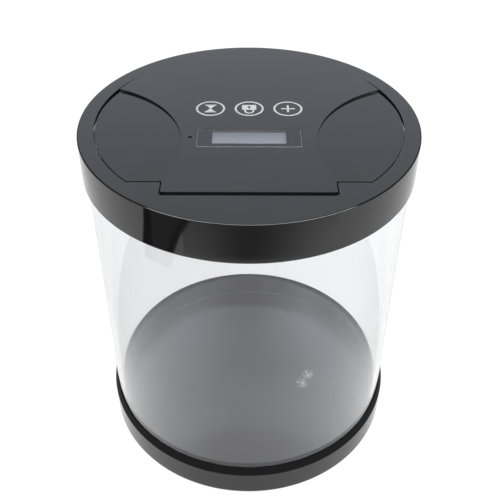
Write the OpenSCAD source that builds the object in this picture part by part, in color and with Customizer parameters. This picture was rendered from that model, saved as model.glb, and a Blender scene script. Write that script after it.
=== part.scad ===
// Timed lock container: a clear tube between a moulded base and a lid collar,
// closed by a hinged flap that carries the display, the touch keys, the cells
// and a motor-driven bolt. The origin is the centre of the rest plane, +Z is up,
// the hinge is on the -Y side and the user stands on the +Y side.

/* [Body] */
// Outside diameter of the base and of the lid collar
outer_d = 190; // [180:1:210]
// Height from the rest plane to the top of the lid
total_h = 217; // [180:1:260]
// Wall of the base and of the collar outside the tube
skirt_wall = 2.2; // [1.8:0.1:2.8]
// Wall of the lips that stand inside the tube
lip_wall = 2; // [1.6:0.1:2.6]
// Bond line between the tube and the lips and walls beside it
bond_gap = 0.1; // [0.05:0.05:0.2]
// Wall of the clear tube
tube_wall = 3; // [2.4:0.1:3.6]

/* [Base] */
// Height of the rim where the tube leaves the base
base_h = 23.4; // [21:0.2:28]
// Height at which the upright side turns in towards the tube
shoulder_z = 18; // [14:0.5:19]
// Width of the flat rim beside the tube
rim_flat = 0.4; // [0.2:0.1:1]
// Level of the inside floor
floor_z = 7.5; // [6.5:0.5:10]
// Thickness of the floor
floor_t = 2.5; // [2:0.1:3.5]
// Fillet where the floor meets the lip
floor_fillet = 1.6; // [0.5:0.1:3]
// Drop from the rim of the base to the top of its inner lip
lip_drop = 0.4; // [0:0.1:2]
// Diameter of a foot pad
pad_d = 14; // [10:0.5:18]
// Thickness of a foot pad
pad_t = 1.8; // [1.4:0.1:2.4]
// Height of the skirt above the rest plane
stand_off = 0.6; // [0.3:0.1:1]
// Distance from the outside of the base in to the middle of a foot pad
pad_inset = 23; // [20:1:32]
// Number of ribs under the floor
rib_count = 8; // [4:4:16]
// Thickness of a rib
rib_t = 1.6; // [1.2:0.1:2]

/* [Lid collar] */
// Height of the side of the collar
collar_h = 23.8; // [20:0.1:26]
// Thickness of the top of the collar
collar_top_t = 2.6; // [2.2:0.1:3]
// Width of the rim round the flap
rim_w = 9; // [9:0.1:9.8]
// Rounding of the top edge
edge_r = 0.8; // [0.4:0.1:1.2]
// Depth from the top of the lid to the end of the tube
tube_stop = 11; // [9.5:0.1:13]
// Number of ribs that stop the tube
stop_count = 12; // [6:2:20]
// Depth of the walls round the hinge pocket
pocket_wall_h = 9; // [6:0.5:11]
// Width of the ledge under the rim of the flap
ledge_w = 2.9; // [2.6:0.1:3.2]
// Thickness of the ledge
ledge_t = 2.4; // [1.5:0.1:3]

/* [Flap] */
// Gap between the flap and the collar
flap_gap = 0.6; // [0.6:0.05:0.9]
// Distance that the straight edge cuts off from the round rim of the flap
chord_inset = 26; // [25:0.2:28]
// Gap along the straight edge of the flap
chord_gap = 0.8; // [0.7:0.1:1.2]
// Thickness of the flap's straight edge above its chamfer
chord_edge_t = 1; // [0.8:0.1:1.2]
// Length of the hinge tab beyond the straight edge
tab_l = 9.2; // [8:0.2:10]
// Width of the hinge tab
tab_w = 87.2; // [70:0.2:96]
// Gap beyond the end of the hinge tab
tab_gap = 2.9; // [2.8:0.1:3.6]
// Thickness of the closed flap
flap_h = 21.5; // [21.5:0.1:22.5]
// Thickness of the top of the flap
flap_top_t = 2.5; // [2.2:0.1:2.8]
// Thickness of the bottom cover
flap_bottom_t = 2; // [1.6:0.1:2]
// Wall of the flap's skirt
flap_wall = 2; // [1.6:0.1:2.4]
// Step from the round rim of the flap in to its skirt
flap_step = 2.1; // [2:0.1:2.6]
// Step from the straight edge of the flap in to its skirt
chord_step = 1.5; // [1.5:0.1:1.7]
// Radius of a finger recess
recess_r = 69.8; // [66:0.2:72]
// Distance from the round rim out to a recess centre, across the flap
recess_out = 20.5; // [18:0.2:23]
// Distance from the middle to the recess centres, towards the hinge
recess_y = 26.6; // [22:0.2:30]
// Depth of a recess at its far corner
recess_depth = 1.3; // [1:0.1:3.4]
// Floor left under a recess
recess_floor = 2.4; // [1.8:0.1:2.8]

/* [Hinge] */
// Diameter of the hinge pin
pin_d = 2.5; // [2:0.1:3]
// Distance from the end of a pin boss in to the end of the pin
pin_inset = 1.3; // [0.4:0.1:3]
// Outer diameter of the flap's hinge barrel
barrel_d = 5.2; // [4.6:0.1:5.4]
// Depth of the hinge axis below the top of the lid
axis_depth = 4.2; // [4:0.1:4.4]
// Radial clearance of the flap's barrel on the pin
run_gap = 0.05; // [0.02:0.01:0.09]
// Radial clearance of the pin in the collar's bosses
press_gap = 0.02; // [0.01:0.01:0.05]
// Length of a pin boss on the collar
boss_l = 8; // [7.5:0.5:12]

/* [Lock] */
// Width of the bolt
bolt_w = 10; // [9:0.2:11]
// Thickness of the bolt
bolt_t = 5; // [4.4:0.1:5]
// Length of the bolt
bolt_l = 40.3; // [38:0.1:44]
// Travel of the bolt
bolt_travel = 7; // [6:0.1:7]
// Depth of the top of the bolt below the top of the lid
bolt_depth = 3.8; // [3.8:0.1:4]
// How far the drawn-in bolt stands out of the flap's skirt
bolt_proud = 0.3; // [0.1:0.1:0.6]
// Sliding clearance round the bolt
slide_gap = 0.3; // [0.2:0.05:0.4]
// Tooth module of the pinion and the rack
gear_m = 0.7; // [0.6:0.05:0.75]
// Number of teeth on the pinion
gear_n = 12; // [11:1:12]
// Width of the pinion
gear_w = 6; // [4:0.2:6.4]
// Backlash between the pinion and the rack
backlash = 0.16; // [0.08:0.02:0.24]
// Diameter of the motor's output shaft
shaft_d = 3; // [2:0.1:3.2]
// Distance from the skirt of the flap in to the pinion's axis
motor_inset = 21.3; // [19:0.1:23]
// Height of the motor and its gearbox
motor_h = 10; // [9:0.1:10]
// Width of the motor and its gearbox
motor_w = 12; // [10:0.1:13]
// Length of the gearbox
gearbox_l = 9; // [7:0.5:12]
// Length of the motor can
can_l = 15; // [12:0.5:18]
// Thickness of the motor's strap
strap_t = 0.5; // [0.3:0.1:0.5]
// Width of the strap
strap_w = 8; // [6:0.5:10]

/* [Electronics] */
// Length of the display window
window_w = 56.5; // [52:0.5:60]
// Width of the display window
window_l = 18; // [17.5:0.5:21]
// Thickness of the display window
window_t = 1.5; // [1:0.1:1.8]
// Clearance round the display window
window_gap = 0.15; // [0.1:0.05:0.3]
// Distance from the centre of the lid to the middle of the display window
display_y = 18.2; // [16:0.1:20]
// Length of the seen part of the display
view_w = 40; // [34:0.5:44]
// Width of the seen part of the display
view_l = 12.4; // [10:0.1:12.6]
// Distance from the middle of the window to the middle of its seen part, away from the hinge
view_shift = 1.5; // [0:0.1:1.6]
// Length of the display panel
panel_w = 48; // [46:0.5:49]
// Width of the display panel
panel_l = 17; // [15.5:0.5:18]
// Thickness of the display panel
panel_t = 2.7; // [2.2:0.1:2.8]
// Length of the circuit board
board_w = 76; // [74:0.5:84]
// Width of the circuit board
board_l = 61; // [59:0.5:64]
// Thickness of the circuit board
board_t = 1.6; // [1:0.1:1.6]
// Gap between the circuit board and the top of the flap
board_gap = 2.9; // [2.9:0.1:3.1]
// Distance from the centre to the middle of the board, towards the hinge
board_y = 2.5; // [0:0.5:4]
// Distance between the touch keys
key_pitch = 22.3; // [20:0.1:26]
// Distance from the centre of the lid to the touch keys
key_y = 13.8; // [11:0.1:16]
// Diameter of a touch electrode
electrode_d = 12; // [8:0.5:14]
// Distance from the centre to the sound hole, across the lid
sound_x = 32; // [31:0.1:33]
// Distance from the centre of the lid to the sound hole, towards the hinge
sound_y = 17.4; // [16:0.1:19]
// Diameter of the sound hole
sound_d = 2.2; // [1:0.1:3]
// Width of the sounder on the board
sounder_w = 5; // [4:0.5:5]
// Height of the sounder
sounder_t = 2; // [1.5:0.1:2.5]
// Width of the controller on the board
chip_w = 10; // [7:0.5:12]
// Width of the motor driver on the board
driver_w = 5; // [4:0.5:6]
// Length of the crystal on the board
crystal_w = 8; // [5:0.5:9]
// Height of the chips and of the crystal
chip_t = 1.3; // [0.8:0.1:1.6]
// Diameter of the capacitor on the board
capacitor_d = 5; // [4:0.5:6.5]
// Height of the capacitor
capacitor_h = 4; // [3:0.5:5]

/* [Cells] */
// Diameter of a cell
cell_d = 10.5; // [10.1:0.1:10.5]
// Length of a cell with its button
cell_l = 44.5; // [43:0.1:45]
// Number of cells
cell_count = 3; // [2:1:3]
// Gap between neighbouring cells
cell_gap = 0.5; // [0.3:0.1:0.8]
// Room beyond each end of a cell for its contact
contact_room = 1.75; // [1.4:0.05:2.2]
// Wall of the cell bay
bay_wall = 1.4; // [1:0.1:1.6]
// Gap between the cell bay and the skirt along the straight edge
bay_gap = 0.2; // [0.1:0.05:0.6]
// Width of the ledge that the cell door rests on
door_ledge = 1.5; // [1:0.1:2]
// Clearance round the cell door
door_gap = 0.3; // [0.2:0.05:0.5]

/* [Screws] */
// Diameter of the cover screws
screw_d = 2.6; // [2:0.1:3]
// Diameter of the small screws
small_screw_d = 2; // [1.6:0.1:2.2]
// Clearance of a screw in its hole
screw_gap = 0.15; // [0.1:0.05:0.25]
// Wall of a screw boss
boss_wall = 1.6; // [1.2:0.1:2]

/* [Hidden] */
$fn = 96;

// Body and tube
outer_r = outer_d / 2;
tube_r = outer_r - skirt_wall - bond_gap;
tube_in_r = tube_r - tube_wall;
lip_out_r = tube_in_r - bond_gap;
lip_in_r = lip_out_r - lip_wall;
seat_r = tube_r + bond_gap;
tube_top_z = total_h - tube_stop;
under_z = floor_z - floor_t;
pad_angles = [45, 135, 225, 315];
pad_circle_r = outer_r - pad_inset;
pad_wall = 1;
arc_steps = 6;
// How far a cut runs past a face, how far joined shapes run into each other, and
// how far a wall or rib runs into the curved wall that it ends on
cut = 1;
join = 0.01;
bite = 0.4;

// Collar
collar_z = total_h - collar_h;
collar_under_z = total_h - collar_top_t;
mouth_r = outer_r - rim_w;
flap_r = mouth_r - flap_gap;
chord_y = flap_r - chord_inset;
notch_y = chord_y + tab_l + tab_gap;
notch_w = tab_w + 2 * flap_gap;
collar_chord_y = chord_y + chord_gap;
stop_t = 2;
ledge_start_y = flap_r / 1.78;
ledge_clear = 0.3;
lip_start = 2;
strike_end_y = seat_r - 1.8;

// Flap
flap_skirt_r = flap_r - flap_step;
flap_z = total_h - flap_h;
flap_under_z = total_h - flap_top_t;
flap_inside_z = flap_z + flap_bottom_t;
flap_chord = chord_y - chord_step;
tab_y = chord_y + tab_l;

// Hinge
axis_z = total_h - axis_depth;
axis_y = tab_y - barrel_d / 2;
pin_l = notch_w + 2 * (boss_l - pin_inset);
pin_room = 0.2;

// Recesses: the corner where the arc of a recess meets the rim sets the slope of its floor
recess_x = flap_r + recess_out;
recess_reach = norm([recess_x, recess_y]);
corner_along = (flap_r ^ 2 - recess_r ^ 2 + recess_reach ^ 2) / (2 * recess_reach);
corner_across = sqrt(flap_r ^ 2 - corner_along ^ 2);
corner_y = (corner_across * recess_x - corner_along * recess_y) / recess_reach;
recess_tilt = atan(recess_depth / (chord_y + corner_y));
pan_y = sound_y - sounder_w / 2 - 1;

// Lock
pitch_r = gear_m * gear_n / 2;
gear_add = 0.8 * gear_m;
gear_ded = 1.15 * gear_m;
pressure = 25;
bolt_top_z = total_h - bolt_depth;
bolt_z = bolt_top_z - bolt_t;
bolt_chamfer = 0.6;
rack_step = 0.1;
rack_root_z = bolt_z - rack_step;
pitch_z = rack_root_z - gear_ded;
gear_z = pitch_z - pitch_r;
gear_pitch = PI * gear_m;
flank_steps = 4;
bolt_tip_y = flap_skirt_r + bolt_proud;
bolt_back_y = bolt_tip_y - bolt_l;
rack_first = -floor((bolt_travel + 2.5 * gear_m) / gear_pitch) - 1;
rack_last = 2;
motor_y = flap_skirt_r - motor_inset;
guide_wall = 1.9;
guide_t = 1.6;
guide_l = 34;
guide_inset = 7.3;
guide_end_y = flap_skirt_r - guide_inset;
guide_start_y = guide_end_y - guide_l;
guide_half_w = bolt_w / 2 + slide_gap + guide_wall;
guide_z = bolt_z - slide_gap - guide_t;
guide_slot_w = gear_w + 1.2;
guide_bridge_l = 3;
ear_reach = 4;
ear_inset = 8;
ear_r = 3.4;
ear_x = guide_half_w + ear_reach;
ear_y = guide_start_y + ear_inset;
gearbox_gap = 0.4;
gearbox_x = guide_half_w + gearbox_gap;
can_x = gearbox_x + gearbox_l;
shaft_l = gear_w / 2 + gearbox_x + gearbox_l / 2;
shaft_room = 0.5;
motor_top_z = gear_z + motor_h / 2;
motor_z = gear_z - motor_h / 2;
motor_gap = 0.1;
strap_x = can_x + can_l / 2;
strap_ear_l = 6;
strap_screw_y = motor_w / 2 + motor_gap + strap_t + strap_ear_l / 2;

// Electronics
window_z = total_h - window_t;
board_top_z = flap_under_z - board_gap;
board_z = board_top_z - board_t;
board_hole_inset = 4;
board_hole_x = board_w / 2 - board_hole_inset;
board_hole_y = board_l / 2 - board_hole_inset;
key_xs = [-key_pitch, 0, key_pitch];
window_corner = 1.2;
view_margin = 0.5;
view_y = display_y - view_shift;
sounder_shift = 1;

// Cells
bay_w = cell_l + 2 * contact_room;
bay_l = cell_count * cell_d + (cell_count + 1) * cell_gap;
bay_in_y = flap_chord - flap_wall - bay_gap - bay_wall - bay_l;
bay_mid_y = bay_in_y + bay_l / 2;
cell_z = flap_inside_z + cell_gap + cell_d / 2;
bay_headroom = 0.2;
bay_top_z = cell_z + cell_d / 2 + bay_headroom;
bay_roof_t = 0.8;
rebate_t = 1;
rebate_gap = 0.05;
door_w = bay_w + 2 * door_ledge - 2 * door_gap;
door_l = bay_l + 2 * door_ledge - 2 * door_gap;
grip_count = 5;
grip_pitch = 3;
grip_w = 1.2;
grip_l = 8;
grip_depth = 0.5;
grip_inset = 6;
button_d = 3.8;
button_l = 0.8;
contact_t = 0.4;
contact_w = 0.7 * cell_d;
cone_r = 0.3 * cell_d;

// Screws: two at the sides, two towards the user and two along the straight edge
side_screw_inset = 17.3;
side_screw_y = -12;
front_screw_inset = 25.3;
front_screw_x = 46;
chord_screw_inset = 9.4;
chord_screw_x = 40;
cover_points = [[flap_skirt_r - side_screw_inset, side_screw_y],
  [front_screw_x, flap_skirt_r - front_screw_inset], [chord_screw_x, chord_screw_inset - chord_y]];
head_ratio = 1.86;
screw_head_d = head_ratio * screw_d;
head_t = 1.2;
thread_bite = 0.15;
screw_l = 9;
small_screw_l = 4.6;
drill_room = 1;

// A ring with a rectangular section between two radii and two heights
module ring(r_in, r_out, z0, z1) {
  rotate_extrude()
    translate([r_in, z0])
      square([r_out - r_in, z1 - z0]);
}

// A block given by its middle in plan, its size in plan and two heights
module block(x, y, w, l, z0, z1) {
  translate([x - w / 2, y - l / 2, z0])
    cube([w, l, z1 - z0]);
}

// A disc or round bar standing at a point
module post(x, y, r, z0, z1) {
  translate([x, y, z0])
    cylinder(h = z1 - z0, r = r);
}

// Points of a quarter arc about a centre, from one angle to another
function arc(cx, cy, r, a0, a1) =
  [for (i = [0 : arc_steps])
    let (a = a0 + (a1 - a0) * i / arc_steps)
    [cx + r * cos(a), cy + r * sin(a)]];

// A rectangle with round corners
module round_rect(w, l, r) {
  square([w - 2 * r, l], center = true);
  square([w, l - 2 * r], center = true);
  for (x = [-1, 1], y = [-1, 1])
    translate([x * (w / 2 - r), y * (l / 2 - r)])
      circle(r = r);
}

// The part of a circle that lies on the user's side of a straight edge
module cut_disc(r, y) {
  intersection() {
    circle(r = r);
    translate([-r - cut, -y])
      square([2 * r + 2 * cut, r + y + cut]);
  }
}

// One finger recess in plan, grown by a margin, on the user's side of a straight edge
module recess_plan(side, grow, y) {
  intersection() {
    cut_disc(flap_r, y);
    translate([side * recess_x, -recess_y])
      circle(r = recess_r + grow);
  }
}

// The base: side, tube channel, inner lip and floor in one moulding
module base_cup() {
  color([0.05, 0.05, 0.055]) {
    rotate_extrude()
      polygon(concat(
        [[0, under_z], [outer_r - skirt_wall, under_z], [outer_r - skirt_wall, stand_off],
         [outer_r - edge_r, stand_off], [outer_r, stand_off + edge_r], [outer_r, shoulder_z],
         [seat_r + rim_flat, base_h], [seat_r, base_h], [seat_r, floor_z],
         [lip_out_r, floor_z], [lip_out_r, base_h - lip_drop], [lip_in_r, base_h - lip_drop]],
        arc(lip_in_r - floor_fillet, floor_z + floor_fillet, floor_fillet, 0, -90),
        [[0, floor_z]]));
    difference() {
      for (i = [0 : rib_count / 2 - 1])
        rotate([0, 0, i * 360 / rib_count])
          block(0, 0, 2 * (outer_r - skirt_wall + bite), rib_t, pad_t, under_z + join);
      for (a = pad_angles)
        rotate([0, 0, a])
          post(pad_circle_r, 0, pad_d / 2, pad_t - cut, under_z);
    }
    for (a = pad_angles)
      rotate([0, 0, a])
        post(pad_circle_r, 0, pad_d / 2 + pad_wall, pad_t, under_z + join);
  }
}

// Rubber pads under the base
module foot_pads() {
  color([0.16, 0.16, 0.16])
    for (a = pad_angles)
      rotate([0, 0, a])
        post(pad_circle_r, 0, pad_d / 2, 0, pad_t);
}

// The clear wall of the container
module tube() {
  color([0.9, 0.92, 0.94, 0.35])
    ring(tube_in_r, tube_r, floor_z, tube_top_z);
}

// The collar's mouth in plan: the flap's outline with its gap, and the hinge notch
module mouth_plan() {
  cut_disc(mouth_r, collar_chord_y);
  translate([-notch_w / 2, -notch_y])
    square([notch_w, notch_y]);
}

// Walls that hang under the collar along the straight edge and round the hinge notch
module pocket_walls() {
  wall = skirt_wall;
  intersection() {
    union() {
      for (s = [-1, 1]) {
        block(s * (notch_w / 2 + boss_l / 2), -(collar_chord_y + notch_y) / 2, boss_l,
          notch_y - collar_chord_y, axis_z - barrel_d / 2, collar_under_z + join);
        block(s * (notch_w / 2 + outer_r) / 2, -collar_chord_y - wall / 2, outer_r - notch_w / 2,
          wall, total_h - pocket_wall_h, collar_under_z + join);
      }
      block(0, -notch_y - wall / 2, notch_w + 2 * boss_l, wall, total_h - pocket_wall_h,
        collar_under_z + join);
    }
    post(0, 0, lip_in_r + bite, collar_z, total_h);
  }
}

// The collar: rim, side, tube channel, hinge bosses and the ledge for the flap
module lid_collar() {
  color([0.05, 0.05, 0.055])
    difference() {
      union() {
        difference() {
          rotate_extrude()
            polygon(concat(
              [[0, collar_under_z], [seat_r, collar_under_z], [seat_r, collar_z]],
              [[outer_r - edge_r / 2, collar_z], [outer_r, collar_z + edge_r / 2]],
              arc(outer_r - edge_r, total_h - edge_r, edge_r, 0, 90),
              [[0, total_h]]));
          translate([0, 0, collar_under_z - cut])
            linear_extrude(collar_top_t + 2 * cut)
              mouth_plan();
        }
        ring(lip_in_r, lip_out_r, collar_z + lip_start, collar_under_z + join);
        for (i = [0 : stop_count - 1])
          rotate([0, 0, (i + 0.5) * 360 / stop_count])
            block((lip_out_r + seat_r) / 2, 0, seat_r - lip_out_r + bite, stop_t, tube_top_z,
              collar_under_z + join);
        pocket_walls();
        intersection() {
          ring(lip_in_r - ledge_w, lip_in_r + bite, flap_under_z - ledge_clear - ledge_t,
            flap_under_z - ledge_clear);
          block(0, ledge_start_y + outer_r / 2, 2 * outer_r, outer_r, collar_z, total_h);
        }
      }
      block(0, (flap_skirt_r + strike_end_y) / 2, bolt_w + 2 * slide_gap, strike_end_y - flap_skirt_r,
        bolt_z - slide_gap, bolt_top_z + slide_gap);
      translate([-pin_l / 2 - pin_room, -axis_y, axis_z])
        rotate([0, 90, 0])
          cylinder(h = pin_l + 2 * pin_room, r = pin_d / 2 + press_gap);
    }
}

// Steel pin on which the flap turns
module hinge_pin() {
  color([0.75, 0.76, 0.78])
    translate([-pin_l / 2, -axis_y, axis_z])
      rotate([0, 90, 0])
        cylinder(h = pin_l, r = pin_d / 2);
}

// The tilted space that a finger takes out of the flap on one side
module recess_cut(side) {
  intersection() {
    translate([0, 0, flap_under_z - cut])
      linear_extrude(flap_top_t + 2 * cut)
        intersection() {
          translate([side * recess_x, -recess_y])
            circle(r = recess_r);
          translate([-outer_r, -chord_y])
            square([2 * outer_r, outer_r + chord_y]);
        }
    translate([-outer_r, -chord_y, total_h])
      rotate([-recess_tilt, 0, 0])
        cube([2 * outer_r, 2 * outer_r, recess_depth * 3]);
  }
}

// Chamfer under the straight edge beside the hinge tab, which lets the edge swing past the collar
module chord_chamfer() {
  depth = flap_top_t - chord_edge_t;
  for (s = [-1, 1])
    translate([s * (tab_w / 2 + outer_r / 2) - outer_r / 2, -chord_y, flap_under_z])
      rotate([90, 0, 90])
        linear_extrude(outer_r)
          polygon([[-cut, -cut], [depth, -cut], [depth, 0], [0, depth], [-cut, depth]]);
}

// Top of the flap with its skirt, recesses, hinge barrel and screw bosses
module flap_top_cover() {
  color([0.06, 0.06, 0.066])
    difference() {
      union() {
        translate([0, 0, flap_under_z])
          linear_extrude(flap_top_t) {
            cut_disc(flap_r, chord_y);
            translate([-tab_w / 2, -tab_y])
              square([tab_w, tab_y]);
          }
        translate([0, 0, flap_inside_z])
          linear_extrude(flap_under_z - flap_inside_z + join)
            difference() {
              cut_disc(flap_skirt_r, flap_chord);
              cut_disc(flap_skirt_r - flap_wall, flap_chord - flap_wall);
            }
        for (s = [-1, 1])
          translate([0, 0, total_h - recess_depth - recess_floor])
            linear_extrude(recess_depth + recess_floor - flap_top_t + join)
              recess_plan(s, recess_floor, pan_y);
        block(0, -axis_y, tab_w, barrel_d, axis_z, flap_under_z + join);
        translate([-tab_w / 2, -axis_y, axis_z])
          rotate([0, 90, 0])
            cylinder(h = tab_w, r = barrel_d / 2);
        for (p = cover_points, s = [-1, 1])
          post(s * p[0], p[1], screw_d / 2 + boss_wall, flap_inside_z, flap_under_z + join);
        for (x = [-1, 1], y = [-1, 1])
          post(x * board_hole_x, y * board_hole_y - board_y, small_screw_d / 2 + boss_wall, board_top_z,
            flap_under_z + join);
        for (s = [-1, 1]) {
          post(s * ear_x, ear_y, small_screw_d / 2 + boss_wall, guide_z + guide_t,
            flap_under_z + join);
          post(strap_x, motor_y + s * strap_screw_y, small_screw_d / 2 + boss_wall, motor_top_z,
            flap_under_z + join);
          block(can_x + can_l / 2, motor_y + s * motor_w / 4, can_l, boss_wall, motor_top_z + motor_gap,
            flap_under_z + join);
        }
      }
      for (s = [-1, 1])
        recess_cut(s);
      chord_chamfer();
      translate([-tab_w / 2 - cut, -axis_y, axis_z])
        rotate([0, 90, 0])
          cylinder(h = tab_w + 2 * cut, r = pin_d / 2 + run_gap);
      translate([0, -display_y, window_z])
        linear_extrude(window_t + cut)
          round_rect(window_w + 2 * window_gap, window_l + 2 * window_gap, window_corner + window_gap);
      block(0, -view_y, view_w + 2 * view_margin, view_l + 2 * view_margin, flap_under_z - cut,
        total_h);
      post(-sound_x, -sound_y, sound_d / 2, flap_under_z - cut, total_h + cut);
      for (p = cover_points, s = [-1, 1])
        post(s * p[0], p[1], screw_d / 2 - thread_bite, flap_inside_z - cut,
          flap_z + screw_l + drill_room);
      for (x = [-1, 1], y = [-1, 1])
        post(x * board_hole_x, y * board_hole_y - board_y, small_screw_d / 2 - thread_bite,
          board_top_z - cut, board_z + small_screw_l);
      for (s = [-1, 1]) {
        post(s * ear_x, ear_y, small_screw_d / 2 - thread_bite, guide_z, guide_z + small_screw_l);
        post(strap_x, motor_y + s * strap_screw_y, small_screw_d / 2 - thread_bite, motor_top_z - cut,
          motor_top_z + small_screw_l);
      }
      block(0, flap_skirt_r, bolt_w + 2 * slide_gap, 4 * flap_wall, bolt_z - slide_gap,
        bolt_top_z + slide_gap);
    }
}

// Underside of the flap with the cell bay
module flap_bottom_cover() {
  color([0.09, 0.09, 0.095])
    difference() {
      union() {
        translate([0, 0, flap_z])
          linear_extrude(flap_bottom_t)
            cut_disc(flap_skirt_r, flap_chord);
        block(0, -bay_mid_y, bay_w + 2 * bay_wall, bay_l + 2 * bay_wall, flap_inside_z - join,
          bay_top_z + bay_roof_t);
      }
      block(0, -bay_mid_y, bay_w, bay_l, flap_z - cut, bay_top_z);
      block(0, -bay_mid_y, bay_w + 2 * door_ledge, bay_l + 2 * door_ledge, flap_z - cut,
        flap_z + rebate_t);
      for (p = cover_points, s = [-1, 1]) {
        post(s * p[0], p[1], screw_d / 2 + screw_gap, flap_z - cut, flap_inside_z + cut);
        post(s * p[0], p[1], screw_head_d / 2 + screw_gap, flap_z - cut, flap_z + head_t);
      }
    }
}

// Clear window over the display, flush with the flap
module display_window() {
  color([0.1, 0.1, 0.12])
    translate([0, -display_y, window_z])
      linear_extrude(window_t)
        round_rect(window_w, window_l, window_corner);
}

// Liquid-crystal panel on the circuit board
module display_panel() {
  color([0.62, 0.68, 0.72])
    block(0, -view_y, panel_w, panel_l, board_top_z, board_top_z + panel_t);
}

// Circuit board with its screw holes
module circuit_board() {
  color([0.08, 0.32, 0.16])
    difference() {
      block(0, -board_y, board_w, board_l, board_z, board_top_z);
      for (x = [-1, 1], y = [-1, 1])
        post(x * board_hole_x, y * board_hole_y - board_y, small_screw_d / 2 + screw_gap,
          board_z - cut, board_top_z + cut);
    }
}

// Controller, motor driver, crystal and capacitor under the board
module board_parts() {
  color([0.12, 0.12, 0.13]) {
    block(board_w / 8, board_l / 12, chip_w, chip_w, board_z - chip_t, board_z);
    block(-board_w / 6, board_l / 5, driver_w, 1.2 * driver_w, board_z - chip_t, board_z);
    block(-board_w / 8, -board_l / 15, crystal_w, 0.4 * crystal_w, board_z - chip_t, board_z);
    post(board_w / 3, board_l / 4, capacitor_d / 2, board_z - capacitor_h, board_z);
  }
}

// Foam electrodes between the board and the top of the flap, one under each touch key
module touch_electrodes() {
  color([0.2, 0.2, 0.22])
    for (x = key_xs)
      post(x, key_y, electrode_d / 2, board_top_z, flap_under_z);
}

// Sounder on the board, with its port under the sound hole
module sounder() {
  color([0.1, 0.1, 0.1])
    block(sounder_shift - sound_x, -sound_y, sounder_w, sounder_w, board_top_z,
      board_top_z + sounder_t);
}

// Metal case of the reduction gears
module gearbox_case() {
  color([0.72, 0.66, 0.45])
    difference() {
      block(gearbox_x + gearbox_l / 2, motor_y, gearbox_l, motor_w, motor_z, motor_top_z);
      translate([gearbox_x - cut, motor_y, gear_z])
        rotate([0, 90, 0])
          cylinder(h = gearbox_l / 2 + cut, r = shaft_d / 2 + run_gap);
    }
}

// Motor can with its two flats
module motor_can() {
  color([0.78, 0.79, 0.8])
    intersection() {
      block(can_x + can_l / 2, motor_y, can_l, motor_w, motor_z, motor_top_z);
      translate([can_x, motor_y, gear_z])
        rotate([0, 90, 0])
          cylinder(h = can_l, r = motor_w / 2);
    }
}

// Steel strap that holds the motor up in the flap
module motor_strap() {
  inner = motor_w / 2 + motor_gap;
  color([0.7, 0.71, 0.73])
    difference() {
      union() {
        block(strap_x, motor_y, strap_w, 2 * (inner + strap_t), motor_z - strap_t, motor_top_z);
        block(strap_x, motor_y, strap_w, 2 * (inner + strap_t + strap_ear_l), motor_top_z - strap_t,
          motor_top_z);
      }
      block(strap_x, motor_y, strap_w + 2 * cut, 2 * inner, motor_z, motor_top_z + cut);
      for (s = [-1, 1])
        post(strap_x, motor_y + s * strap_screw_y, small_screw_d / 2 + screw_gap,
          motor_top_z - strap_t - cut, motor_top_z + cut);
    }
}

// Output shaft of the gearbox
module output_shaft() {
  color([0.8, 0.81, 0.82])
    translate([-gear_w / 2, motor_y, gear_z])
      rotate([0, 90, 0])
        cylinder(h = shaft_l - shaft_room, r = shaft_d / 2);
}

// Involute angle in degrees at a pressure angle
function involute(a) = tan(a) * 180 / PI - a;

// Half of a pinion tooth's angle at a radius, in degrees
function tooth_half(r) =
  let (play = backlash / 4 / pitch_r * 180 / PI)
  360 / (4 * gear_n) - play + involute(pressure) - involute(acos(min(1, pitch_r * cos(pressure) / r)));

// Radii at which a tooth's flank is drawn
function flank_radii() =
  let (base_r = pitch_r * cos(pressure), tip_r = pitch_r + gear_add)
  concat([pitch_r - gear_ded],
    [for (i = [0 : flank_steps]) base_r + (tip_r - base_r) * i / flank_steps]);

// Outline of the pinion: up one flank of each tooth and down the other, with a gap
// between two teeth on the side of the rack
module pinion_plan() {
  radii = flank_radii();
  n = len(radii);
  tooth_angle = 360 / gear_n;
  rotate(90)
    polygon([for (t = [0 : gear_n - 1], i = [0 : 2 * n - 1])
      let (up = i < n, r = up ? radii[i] : radii[2 * n - 1 - i],
        a = (t + 0.5) * tooth_angle + (up ? -1 : 1) * tooth_half(r))
      [r * cos(a), r * sin(a)]]);
}

// Pinion on the output shaft
module drive_pinion() {
  color([0.92, 0.92, 0.9])
    difference() {
      translate([-gear_w / 2, motor_y, gear_z])
        rotate([90, 0, 90])
          linear_extrude(gear_w)
            pinion_plan();
      translate([-gear_w / 2 - cut, motor_y, gear_z])
        rotate([0, 90, 0])
          cylinder(h = gear_w + 2 * cut, r = shaft_d / 2 + press_gap);
    }
}

// One rack tooth, with its tip pointing down
module rack_tooth(y) {
  half = gear_pitch / 4 - backlash / 4;
  root = half + gear_ded * tan(pressure);
  tip = half - gear_add * tan(pressure);
  polygon([[y - root, bolt_z + join], [y - root, rack_root_z], [y - tip, pitch_z - gear_add],
    [y + tip, pitch_z - gear_add], [y + root, rack_root_z], [y + root, bolt_z + join]]);
}

// Sliding bolt with the rack under it
module latch_bolt() {
  color([0.86, 0.87, 0.88]) {
    translate([-bolt_w / 2, 0, 0])
      rotate([90, 0, 90])
        linear_extrude(bolt_w)
          polygon([[bolt_back_y, bolt_z], [bolt_tip_y - bolt_chamfer, bolt_z],
            [bolt_tip_y, bolt_z + bolt_chamfer], [bolt_tip_y, bolt_top_z - bolt_chamfer],
            [bolt_tip_y - bolt_chamfer, bolt_top_z], [bolt_back_y, bolt_top_z]]);
    translate([-gear_w / 2, 0, 0])
      rotate([90, 0, 90])
        linear_extrude(gear_w)
          for (i = [rack_first : rack_last])
            rack_tooth(motor_y + i * gear_pitch);
  }
}

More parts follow.
